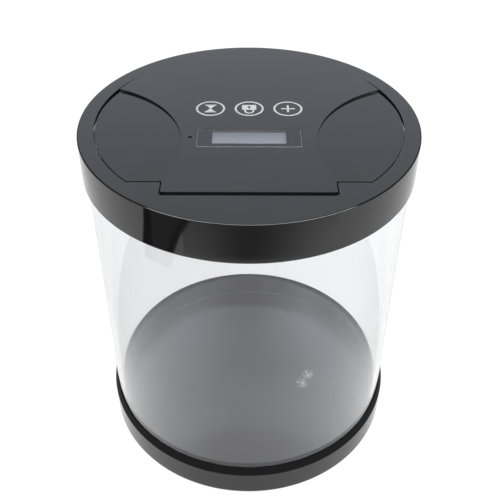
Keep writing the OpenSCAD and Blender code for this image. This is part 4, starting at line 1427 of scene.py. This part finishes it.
@dataclass
class FlapShell:
    """The flap's top with its finger recesses, skirt and hinge barrel, and its bottom cover."""

    rim_r: float = 85.4
    chord: float = 59.4
    tab_y: float = 68.6
    tab_half: float = 43.6
    under: float = 214.5
    skirt_r: float = 83.3
    skirt_chord: float = 57.9
    wall: float = 2.0
    recess_r: float = 69.8
    recess_mid: Point = (105.9, -26.6)
    recess_depth: float = 1.3
    recess_far: float = 36.92
    recess_floor: float = 2.4
    lip_r: float = 85.95
    lip_start: float = 31.0
    pan_y: float = 13.9
    sound_hole: Point = (-32.0, -17.4)
    hole_r: float = 1.15
    barrel_r: float = 2.6

    def slope(self, spot: Vector) -> Vector:
        """Lays a cutter's floor on the tilted floor of a recess."""
        level = TOP - (spot.y + self.chord) * self.recess_depth / (self.chord + self.recess_far)
        return Vector((spot.x, spot.y, spot.z + level))

    def recess(self, side: int) -> Sketch:
        """What a finger recess takes out, with a small fillet at its floor."""
        profile = rounded({(0, 0): 0, (self.recess_r, 0): 0.15, (self.recess_r, 8): 0, (0, 8): 0}, 3)
        place = Matrix.Translation((side * self.recess_mid[0], self.recess_mid[1], 0))
        return Sketch().lathe(profile, 256, place).move(self.slope)

    def pan(self, side: int) -> Sketch:
        """The thicker part of the top under a recess."""
        low = TOP - self.recess_depth - self.recess_floor
        plan = Sketch().prism(cut_disc(self.rim_r - 0.02, self.pan_y), low, self.under + 0.3)
        middle = (side * self.recess_mid[0], self.recess_mid[1])
        disc = Sketch().drum(middle, self.recess_r + self.recess_floor, 205, 220, segments=192)
        return plan.combine(Combine.COMMON, disc)

    def close_front(self, spot: Vector) -> Vector:
        """Leans the rim between the recesses out to the collar, so that no gap shows there."""
        radius = math.hypot(spot.x, spot.y)
        if radius < self.rim_r - 0.3 or spot.z < TOP - 0.5:
            return spot
        angle = math.degrees(math.asin(spot.y / radius))
        grow = 1 + min(1.0, max(0.0, (angle - self.lip_start) / 6)) * (self.lip_r - self.rim_r) / radius
        return Vector((spot.x * grow, spot.y * grow, spot.z))

    def plate(self) -> Sketch:
        """The top with its recesses, the seat of the window and the sound hole."""
        radii = (0.4, 0.3, 0.9, 0.9, 0.3, 0.4)
        plan = tabbed(cut_disc(self.rim_r, self.chord), self.tab_half, self.chord, self.tab_y, radii)
        solid = Sketch().prism(plan, self.under, TOP).combine(Combine.UNITE, self.pan(-1), self.pan(1))
        cutters = [
            self.recess(-1),
            self.recess(1),
            Sketch().prism(rectangle(56.8, 18.3, 1.35, WINDOW_MID), TOP - 1.5, TOP + 1),
            Sketch().prism(rectangle(41.0, 13.4, 0.0, VIEW_MID), self.under - 1, TOP - 1),
            Sketch().drum(self.sound_hole, self.hole_r, self.under - 1, TOP + 1, segments=32),
        ]
        wedge = [(-60.4, 213.5), (-57.9, 213.5), (-57.9, 214.5), (-59.4, 216.0), (-60.4, 216.0)]
        for side in (-1, 1):
            place = Matrix.Translation((side * (self.tab_half + 25), 0, 0)) @ ALONG_X
            cutters.append(Sketch().prism(wedge, -25 + 0.2, 25, place))
        solid = solid.combine(Combine.CUT, *cutters)

        def on_top(a: Vector, b: Vector) -> bool:
            """Whether an edge is on the upper face, but not on the rim that leans to the collar."""
            closed = min(a.xy.length, b.xy.length) > self.rim_r - 0.1 and min(a.y, b.y) > self.recess_far + 8
            return min(a.z, b.z) > TOP - 0.005 and not closed

        def on_rim(a: Vector, b: Vector) -> bool:
            """Whether an edge is where a recess runs out through the round rim."""
            far = min(a.xy.length, b.xy.length) > self.rim_r - 0.05
            return far and TOP - 1.6 < min(a.z, b.z) and max(a.z, b.z) < TOP - 0.15 and abs(a.z - b.z) < 0.2

        return solid.soften(0.1, on_top).soften(0.1, on_rim, 60).move(self.close_front)

    def skirt(self) -> Sketch:
        """The wall under the top, with the opening for the bolt."""
        outer = Sketch().prism(cut_disc(self.skirt_r, self.skirt_chord), FLAP_LOW + 2, self.under + SINK)
        inner = Sketch().prism(cut_disc(self.skirt_r - self.wall, self.skirt_chord - self.wall), FLAP_LOW, TOP)
        slot = Sketch().prism(rectangle(10.6, 8.0, 0.0, (0.0, self.skirt_r)), *BOLT_GAP)
        return outer.combine(Combine.CUT, inner, slot)

    def barrel(self) -> Sketch:
        """The hinge barrel under the tab, bored for the pin."""
        y, high = HINGE[0], self.under + SINK
        section = arc(HINGE, self.barrel_r, 180, 360, 20)
        section += [(y + self.barrel_r, high), (y - self.barrel_r, high)]
        solid = Sketch().prism(section, -self.tab_half, self.tab_half, ALONG_X)
        bore = Sketch().prism(arc(HINGE, 1.3, 0, 345, 23), -self.tab_half - 1, self.tab_half + 1, ALONG_X)
        return solid.combine(Combine.CUT, bore)

    def bosses(self) -> Sketch:
        """The pillars for the screws inside the flap, and the rails beside the pinion."""
        made = Sketch()
        high = self.under + SINK
        for x, y in COVER_SCREWS:
            for side in (-1, 1):
                made.drum((side * x, y), 2.9, FLAP_LOW + 2, high, 1.15)
        for x in (-34, 34):
            for y in (24, -29):
                made.drum((x, y), 2.6, 211.6, high, 0.85)
        for side in (-1, 1):
            made.drum((side * 11.2, 50), 2.6, BOLT_GAP[0], high, 0.85)
            made.drum((24.1, 62 + side * 9.6), 2.6, 208.1, high, 0.85)
            made.block((16.6, 62 + side * 3 - 0.8, 208.2), (31.6, 62 + side * 3 + 0.8, high))
        return made

    def zone(self, middle: Vector, normal: Vector) -> int:
        """The finish of a place on the top: 0 polished, 1 satin, 2 matt wall of an opening, 3 floor of a recess."""
        if middle.z < self.under + 0.05 and normal.z < -0.5:
            return 1
        hole = math.hypot(middle.x - self.sound_hole[0], middle.y - self.sound_hole[1])
        if hole < self.hole_r + 0.3 and abs(normal.z) < 0.5:
            return 2
        inside = math.hypot(abs(middle.x) - self.recess_mid[0], middle.y - self.recess_mid[1])
        return 3 if inside < self.recess_r - 0.05 and normal.z > 0.5 else 0

    def build_top(self) -> None:
        """Builds the flap's top."""
        whole = self.plate()
        count = len(whole.bm.faces)
        whole.join(self.skirt(), self.barrel(), self.bosses())
        whole.bm.faces.index_update()
        whole.bm.normal_update()
        # The joined faces also take numbers that the plate's roundings freed, so the first ones are not
        # only the plate's: a stretch of the skirt is painted by zone, and a few of the plate's are satin.
        for face in whole.bm.faces:
            by_zone = face.index < count
            face.material_index = self.zone(face.calc_center_median(), face.normal) if by_zone else 1
        finishes = [GLOSS_BLACK, SATIN_BLACK, SEALANT, RECESS_BLACK]
        whole.piece("flap_shell", Body.FLAP, Slot.GLOSS, finishes, "flap_top_cover")

    def build_bottom(self) -> None:
        """Builds the bottom cover with the bay for the cells."""
        low = FLAP_LOW
        plate = Sketch().prism(cut_disc(self.skirt_r, self.skirt_chord), low, low + 2)
        bay = Sketch().prism(rectangle(50.8, 36.3, 0.0, CELL_MID), low + 1.99, 209.5)
        cutters = [
            Sketch().prism(rectangle(48.0, 33.5, 0.0, CELL_MID), low - 1, 208.7),
            Sketch().prism(rectangle(51.0, 36.5, 0.4, CELL_MID), low - 1, low + 1),
        ]
        for x, y in COVER_SCREWS:
            for side in (-1, 1):
                cutters.append(Sketch().drum((side * x, y), 1.45, low - 1, low + 3, segments=32))
                cutters.append(Sketch().drum((side * x, y), 2.57, low - 1, low + 1.2))
        solid = plate.combine(Combine.UNITE, bay).combine(Combine.CUT, *cutters)
        solid.soften(0.25, lambda a, b: max(a.z, b.z) < low + 0.005)
        solid.piece("flap_cover", Body.FLAP, Slot.SATIN, [SATIN_BLACK], "flap_bottom_cover")


@dataclass
class DisplayUnit:
    """The clear lens with its printed frame and the display under it."""

    lens: Point = (56.5, 18.0)
    lens_t: float = 1.5
    view: Point = (40.0, 12.4)
    panel: Point = (48.0, 17.0)
    panel_z: tuple[float, float, float] = (211.6, 213.6, 214.3)

    def build(self) -> None:
        """Builds lens, print and panel."""
        print_z = TOP - self.lens_t
        body = Sketch().prism(rectangle(*self.lens, 1.2, WINDOW_MID), print_z + 0.02, TOP)
        body.soften(0.25, lambda a, b: min(a.z, b.z) > TOP - 0.01)
        # Painted highlight: the lens's rounded top edge and the top of its sides take a pale colour.
        body.paint(lambda middle, normal: 1 if abs(normal.z) < 0.95 and middle.z > TOP - 0.3 else 0)
        lens = body.piece("window_lens", Body.FLAP, Slot.LENS, [LENS_CLEAR, LENS_EDGE], "display_window")
        lens.visible_shadow = False
        film = Sketch().prism(rectangle(56.2, 17.7, 1.05, WINDOW_MID), print_z + 0.06, print_z + 0.1)
        opening = Sketch().prism(rectangle(*self.view, 0.5, VIEW_MID), print_z - 1, print_z + 1)
        film.combine(Combine.CUT, opening).piece("lens_print", Body.FLAP, Slot.LENS, [LENS_PRINT])
        low, step, high = self.panel_z
        glass = (VIEW_MID[0], VIEW_MID[1] + 0.5)
        panel = Sketch().prism(rectangle(*self.panel, 0.0, VIEW_MID), low, step)
        panel.prism(rectangle(self.panel[0] - 1.0, self.panel[1] - 2.4, 0.0, glass), step, high)
        panel.soften(0.12, lambda a, b: min(a.z, b.z) > step - 0.1)
        panel.piece("lcd_module", Body.FLAP, Slot.DISPLAY, [CRYSTAL], "display_panel")


@dataclass
class TouchKeys:
    """The printed rings and symbols over the touch electrodes."""

    pitch: float = 22.1
    y: float = 13.8
    film: float = 0.035
    ring_r: float = 8.3
    line: float = 1.1

    def flat(self, outline: Outline, middle: float) -> Sketch:
        """A printed shape, placed over a key."""
        return Sketch().prism([(x + middle, y + self.y) for x, y in outline], TOP, TOP + self.film)

    def hourglass(self, middle: float) -> Sketch:
        """The time symbol."""
        made = self.flat(rectangle(6.6, 0.9, 0.2, (0, 3.9)), middle)
        made.join(self.flat(rectangle(6.6, 0.9, 0.2, (0, -3.9)), middle))
        for side in (-1, 1):
            glass = [(-2.5, side * 3.2), (2.5, side * 3.2), (0.35, side * 0.25), (-0.35, side * 0.25)]
            made.join(self.flat(glass, middle))
        return made.join(self.flat(rectangle(0.7, 0.6), middle))

    def padlock(self, middle: float) -> Sketch:
        """The lock symbol, with its shackle towards the hinge."""
        case = self.flat(rectangle(8.2, 5.6, 0.5, (0, 1.4)), middle)
        eye = Sketch().drum((middle, self.y + 1.9), 0.95, TOP - 1, TOP + 1, segments=32)
        slit = Sketch().prism(rectangle(0.8, 2.0, 0.0, (middle, self.y + 0.9)), TOP - 1, TOP + 1)
        outer, inner, low, end = 2.9, 1.9, -2.6, -1.3
        bow = arc((0, low), outer, 180, 360, 24) + [(outer, end), (inner, end)]
        bow += arc((0, low), inner, 360, 180, 24) + [(-inner, end), (-outer, end)]
        return case.combine(Combine.CUT, eye, slit).join(self.flat(bow, middle))

    def plus(self, middle: float) -> Sketch:
        """The add symbol."""
        a, b = 3.9, 0.55
        cross = [(-b, -a), (b, -a), (b, -b), (a, -b), (a, b), (b, b)]
        return self.flat(cross + [(b, a), (-b, a), (-b, b), (-a, b), (-a, -b), (-b, -b)], middle)

    def build(self) -> None:
        """Builds the rings and the symbols and dresses the electrodes."""
        inner, outer, high = self.ring_r - self.line, self.ring_r, TOP + self.film
        section = [(inner, TOP), (outer, TOP), (outer, high), (inner, high)]
        ring = Sketch().lathe(section, 96, Matrix.Translation((0, self.y, 0)))
        rings = Patterns.row(ring, PRINT_WHITE, 3, self.pitch)
        rings.piece("key_rings", Body.FLAP, Slot.GLOSS, [PRINT_WHITE])
        symbols = self.hourglass(-self.pitch).join(self.padlock(0.0), self.plus(self.pitch))
        symbols.piece("key_symbols", Body.FLAP, Slot.GLOSS, [PRINT_WHITE])
        dress(FOAM, "touch_electrodes")


@dataclass
class CellBay:
    """The cells with their contacts and the door over them."""

    cell_r: float = 5.25
    cell_z: float = 203.25
    can: Point = (-21.95, 21.45)
    end: float = 22.25
    rows: tuple[float, ...] = (-26.55, -37.55, -48.55)

    def build_cells(self) -> None:
        """Builds the three cells, which lie in turn."""
        low, high = self.can
        corners = {
            (0, -self.end): 0,
            (3.4, -self.end): 0.1,
            (3.4, low): 0,
            (self.cell_r, low): 0.5,
            (self.cell_r, high): 0.6,
            (1.9, high): 0.1,
            (1.9, self.end): 0.2,
            (0, self.end): 0,
        }
        made = Sketch()
        for y, way in zip(self.rows, (1, -1, 1)):
            place = Matrix.Translation((0, y, self.cell_z)) @ Matrix.Rotation(way * math.pi / 2, 4, "Y")
            made.lathe(rounded(corners, 4), 64, place)
        made.piece("cells_wrapped", Body.FLAP, Slot.CELL, [WRAP], "cells")
        dress(CONTACT, "cell_contacts")

    def build_door(self) -> None:
        """Builds the door with its grip grooves."""
        low = FLAP_LOW
        solid = Sketch().prism(rectangle(50.4, 35.9, 0.3, CELL_MID), low, low + 0.95)
        plug = Sketch().prism(rectangle(47.4, 32.9, 0.0, CELL_MID), low + 0.5, low + 2)
        groove = Sketch().prism(rectangle(1.2, 8.0, 0.55, (CELL_MID[0], -25.6)), low - 1, low + 0.5)
        grooves = Patterns.row(groove, SATIN_BLACK, 5, 3.0)
        solid = solid.combine(Combine.UNITE, plug).combine(Combine.CUT, grooves)
        solid.soften(0.15, lambda a, b: max(a.z, b.z) < low + 0.005)
        solid.piece("door_panel", Body.DOOR, Slot.SATIN, [SATIN_BLACK], "cell_door")

    def build(self) -> None:
        """Builds cells and door."""
        self.build_cells()
        self.build_door()


@dataclass
class InnerWorks:
    """The lock's and the board's pieces, whose CAD shapes are kept."""

    finishes: tuple[tuple[str, Finish], ...] = (
        ("gearbox_case", BRASS),
        ("motor_can", STEEL),
        ("motor_strap", CONTACT),
        ("output_shaft", STEEL),
        ("drive_pinion", GEAR_WHITE),
        ("latch_bolt", BOLT_GREY),
        ("bolt_guide", GUIDE_GREY),
        ("circuit_board", BOARD),
        ("board_parts", CHIP_BLACK),
        ("sounder", CHIP_BLACK),
    )

    def build(self) -> None:
        """Dresses the pieces."""
        for node, finish in self.finishes:
            dress(finish, node)


@dataclass
class Fasteners:
    """The cover screws with their cross recesses, and the screws inside."""

    head_r: float = 2.42
    head_t: float = 1.2
    shank_r: float = 1.3
    length: float = 9.0
    recess: Point = (2.6, 0.55)

    def screw(self) -> Sketch:
        """One pan-head screw, head down, with a cross recess."""
        corners = {
            (0, 0.05): 0,
            (self.head_r, 0.05): 0.5,
            (self.head_r, self.head_t): 0,
            (self.shank_r, self.head_t): 0,
            (self.shank_r, self.length - 1): 0,
            (0.4, self.length): 0,
            (0, self.length): 0,
        }
        slots = [Sketch().prism(rectangle(*size), -1, 0.75) for size in (self.recess, self.recess[::-1])]
        return Sketch().lathe(rounded(corners, 4), 40).combine(Combine.CUT, slots[0]).combine(Combine.CUT, slots[1])

    def build(self) -> None:
        """Builds the cover screws and dresses the small ones."""
        model = placed("screw_model", self.screw().mesh())
        spots = Sketch()
        for x, y in COVER_SCREWS:
            for side in (-1, 1):
                spots.bm.verts.new((side * x, y, FLAP_LOW))
        turns = {"Most_Turn": math.pi / 2, "Seed": 7}
        screws = Patterns.run(Patterns.copies_on_points(), spots, SCREW_DARK, Shape=model, **turns)
        drop(model)
        screws.piece("cover_screw_heads", Body.FLAP, Slot.SCREW, [SCREW_DARK], "cover_screws")
        dress(SCREW_DARK, "board_screws", "guide_screws", "strap_screws")


# ---------------------------------------------------------------- studio

WHITE = (1.0, 1.0, 1.0, 1.0)
SHEET_STEPS = 24  # faces along a card


@dataclass
class Studio:
    """Camera, lamps, floor and the cards that stand beside the container as painted reflections of darker places."""

    lens: float = 55.1
    sensor: float = 36.0
    eye: tuple[float, float, float] = (0.0, -0.37486, 0.43359)
    tilt: float = 0.69111
    yaw: float = 0.003913 / 2
    roll: float = 0.0039131
    aim: tuple[float, float, float] = (0.0, 0.0, 0.2)
    lamp_reach: float = 1.25
    lamp_radiance: float = 5.0
    strip_rise: float = 32.0
    strip_radiance: float = 11.0
    floor_r: float = 3.0

    def camera(self) -> None:
        """Sets the camera at the photograph's view."""
        flat = math.cos(self.tilt)
        ahead = Vector((math.sin(self.yaw) * flat, math.cos(self.yaw) * flat, -math.sin(self.tilt)))
        right = Vector((math.cos(self.yaw), -math.sin(self.yaw), 0.0))
        up = right.cross(ahead)
        across = right * math.cos(self.roll) + up * math.sin(self.roll)
        above = -right * math.sin(self.roll) + up * math.cos(self.roll)
        turn = Matrix((across, above, -ahead)).transposed().to_4x4()
        data = bpy.data.cameras.new("studio_camera")
        data.lens = self.lens
        data.sensor_width = self.sensor
        data.sensor_fit = "HORIZONTAL"
        data.clip_start, data.clip_end = 0.01, 20.0
        made = placed("studio_camera", data)
        made.matrix_world = Matrix.Translation(self.eye) @ turn
        bpy.context.scene.camera = made

    def lamp(self, name: str, rise: float, sides: Point, radiance: float, heading: float = 0.0) -> bpy.types.Object:
        """Adds a soft lamp on the camera's side, turned to the lid.

        Args:
            name: The lamp's name.
            rise: Its height over the horizon, in degrees, seen from the lid.
            sides: Its width and height.
            radiance: Brightness of its face.
            heading: Its place to the right of straight ahead, in degrees.

        Returns:
            The lamp's object.
        """
        target = Vector(self.aim)
        angle, turn = math.radians(rise), math.radians(heading)
        flat = self.lamp_reach * math.cos(angle)
        away = Vector((flat * math.sin(turn), -flat * math.cos(turn), self.lamp_reach * math.sin(angle)))
        place = target + away
        data = bpy.data.lights.new(name, "AREA")
        data.shape = "RECTANGLE"
        data.size, data.size_y = sides
        data.energy = radiance * math.pi * sides[0] * sides[1]
        made = placed(name, data)
        made.location = place
        made.rotation_mode = "QUATERNION"
        made.rotation_quaternion = (target - place).to_track_quat("-Z", "Y")
        return made

    @staticmethod
    def seen_rays(bench: Bench) -> Socket:
        """1 for camera, mirror and glass rays, 0 for the rays that carry light to the object."""
        path = bench.node("ShaderNodeLightPath").outputs
        rays = bench.math("MAXIMUM", path["Is Camera Ray"], path["Is Glossy Ray"])
        return bench.math("MAXIMUM", rays, path["Is Transmission Ray"])

    def world(self) -> None:
        """Sets a white surround that lights the object at a plain level; only mirror rays see it bluish above and
        painted dark at the flanks and in front.
        """
        world = bpy.data.worlds.new("white_room")
        bpy.context.scene.world = world
        bench = Bench.blank(world)
        level = bench.ramp(self.seen_rays(bench), 0.0, 1.0, 0.45, 1.0)
        heading = bench.split(bench.node("ShaderNodeTexCoord").outputs["Generated"])
        above = bench.ramp(heading[2], 0.1, 0.4)
        glossy = bench.node("ShaderNodeLightPath").outputs["Is Glossy Ray"]
        # Painted reflections: mirror rays alone see the surround bluish above, and dark at the flanks and in front.
        sky = bench.blend(bench.times(glossy, above), WHITE, (0.95, 0.97, 1.09, 1.0))
        aside = bench.math("ABSOLUTE", heading[0])
        behind = bench.math("ADD", heading[1], bench.times(aside, 0.44))
        flank = bench.times(bench.ramp(aside, 0.27, 0.4), bench.ramp(behind, -0.05, 0.05))
        front = bench.times(bench.ramp(heading[1], -0.6, -0.75), bench.ramp(heading[2], 0.5, 0.4))
        dark = bench.times(bench.math("MAXIMUM", flank, front), bench.ramp(heading[2], 0.0, 0.1))
        level = bench.times(level, bench.math("SUBTRACT", 1.0, bench.times(glossy, dark)))
        shade = bench.out("ShaderNodeBackground", {"Color": sky, "Strength": level})
        bench.node("ShaderNodeOutputWorld", {"Surface": shade})

    def floor(self) -> None:
        """Lays the pale floor, which is clear to a camera under it, with a painted contact shadow under the base and
        painted shade on its left where it is seen through glass.
        """
        sheet = Sketch()
        sheet.bm.faces.new([sheet.bm.verts.new((*spot, 0.0)) for spot in arc((0, 0), self.floor_r, 0, 354, 59)])
        material = bpy.data.materials.new("pale_floor")
        bench = Bench.blank(material)
        matt = bench.out("ShaderNodeBsdfDiffuse", {"Color": (0.2, 0.2, 0.2, 1.0)})
        where = place_on(bench)
        # Painted contact shadow: the floor's glow falls to nothing under the base's edge.
        level = bench.times(self.seen_rays(bench), bench.ramp(bench.length(where), 0.0938, 0.0948, 0.0, 0.9))
        glass = bench.node("ShaderNodeLightPath").outputs["Is Transmission Ray"]
        # Painted shade: seen through glass, the floor is up to 13% darker on the left.
        through = bench.times(glass, bench.ramp(bench.split(where)[0], -0.06, 0.1, 0.13, 0.0))
        level = bench.times(level, bench.math("SUBTRACT", 1.0, through))
        glow = bench.out("ShaderNodeEmission", {"Color": WHITE, "Strength": level})
        both = bench.out("ShaderNodeAddShader", {0: matt, 1: glow})
        below = bench.node("ShaderNodeNewGeometry").outputs["Backfacing"]
        clear = bench.out("ShaderNodeBsdfTransparent")
        shade = bench.out("ShaderNodeMixShader", {0: below, 1: both, 2: clear})
        bench.node("ShaderNodeOutputMaterial", {"Surface": shade})
        made = placed("studio_floor", sheet.mesh())
        made.data.materials.append(material)

    @staticmethod
    def front_level(bench: Bench) -> Socket:
        """Brightness of the front card: darkest straight ahead, brighter to both sides, darker far off."""
        where = place_on(bench)
        axes = bench.split(where)
        heading = bench.math("ARCTAN2", axes[0], bench.times(axes[1], -1.0))
        right = bench.ramp(heading, 0.0, 0.9, 0.15, 1.0)
        left = bench.ramp(bench.times(heading, -1.0), 0.0, 0.62, 0.0, 0.5)
        fall = bench.ramp(bench.length(where), 0.32, 0.48, 1.15, 0.25)
        return bench.times(bench.math("ADD", right, left), fall)

    def card(
        self, name: str, rings: Sequence[tuple[float, float, float]], height: float, level: float | None = None
    ) -> None:
        """Lays a card round the container that only mirrors see, as a painted reflection of a darker place.

        Args:
            name: The card's name.
            rings: Distance from the axis in millimetres, with the first and last heading in degrees from
                straight ahead.
            height: Its height over the floor in millimetres.
            level: How bright it is, from 0 to 1, or None for the graded front card.
        """
        sheet = Sketch()
        rows = []
        for reach, first, last in rings:
            turns = [math.radians(first + (last - first) * i / SHEET_STEPS) for i in range(SHEET_STEPS + 1)]
            rows.append([sheet.bm.verts.new((reach * math.sin(a), -reach * math.cos(a), height)) for a in turns])
        for near, far in zip(rows, rows[1:]):
            for i in range(SHEET_STEPS):
                sheet.bm.faces.new((near[i], near[i + 1], far[i + 1], far[i]))
        material = bpy.data.materials.new(name)
        bench = Bench.blank(material)
        strength = self.front_level(bench) if level is None else level
        glow = bench.out("ShaderNodeEmission", {"Color": WHITE, "Strength": strength})
        bench.node("ShaderNodeOutputMaterial", {"Surface": glow})
        made = placed(name, sheet.mesh())
        made.data.transform(Matrix.Scale(MM, 4))
        made.data.materials.append(material)
        made.visible_camera = False
        made.visible_diffuse = False
        made.visible_transmission = False
        made.visible_shadow = False

    def build(self) -> None:
        """Sets up the studio."""
        bpy.context.scene.view_settings.view_transform = "Standard"
        self.camera()
        self.world()
        self.floor()
        self.lamp("soft_box", 52.0, (0.9, 0.9), self.lamp_radiance)
        for name, wide, heading in (("left_strip", 0.77, -45.5), ("right_strip", 0.86, 47.5)):
            strip = self.lamp(name, self.strip_rise, (wide, 0.5), self.strip_radiance, heading)
            strip.visible_diffuse = False
            strip.visible_transmission = False
        # Painted reflection of the darker room in front of the container.
        self.card("front_card", [(reach, -38, 54) for reach in (322, 345, 370, 450, 2500)], 1.0)
        # Painted reflection of the container's shadow on the floor at its left front, with dark edges.
        side = [(290, -67, -50), (322, -65.5, -45), (345, -64.5, -40.5), (365, -63.5, -35.5), (600, -62, -18)]
        self.card("side_card", side, 1.5, 0.12)
        left = [(290, -67, -60), (322, -65.5, -58.5), (345, -64.5, -59), (600, -63, -59)]
        self.card("left_edge", left, 2.0, 0.0)
        right = [(290, -53.5, -48.5), (322, -48, -43.5), (345, -44.5, -40), (365, -40, -35), (600, -22, -17)]
        self.card("right_edge", right, 2.0, 0.0)
        log.info("studio: camera, soft box, floor and cards")


# ---------------------------------------------------------------- all of it


def main() -> None:
    """Builds the container piece by piece and its studio."""
    logging.basicConfig(level=logging.INFO, format="%(name)s: %(message)s")
    BaseCup().build()
    ClearTube().build()
    LidCollar().build()
    flap = FlapShell()
    flap.build_top()
    flap.build_bottom()
    DisplayUnit().build()
    TouchKeys().build()
    CellBay().build()
    InnerWorks().build()
    Fasteners().build()
    Studio().build()


if __name__ == "__main__":
    main()
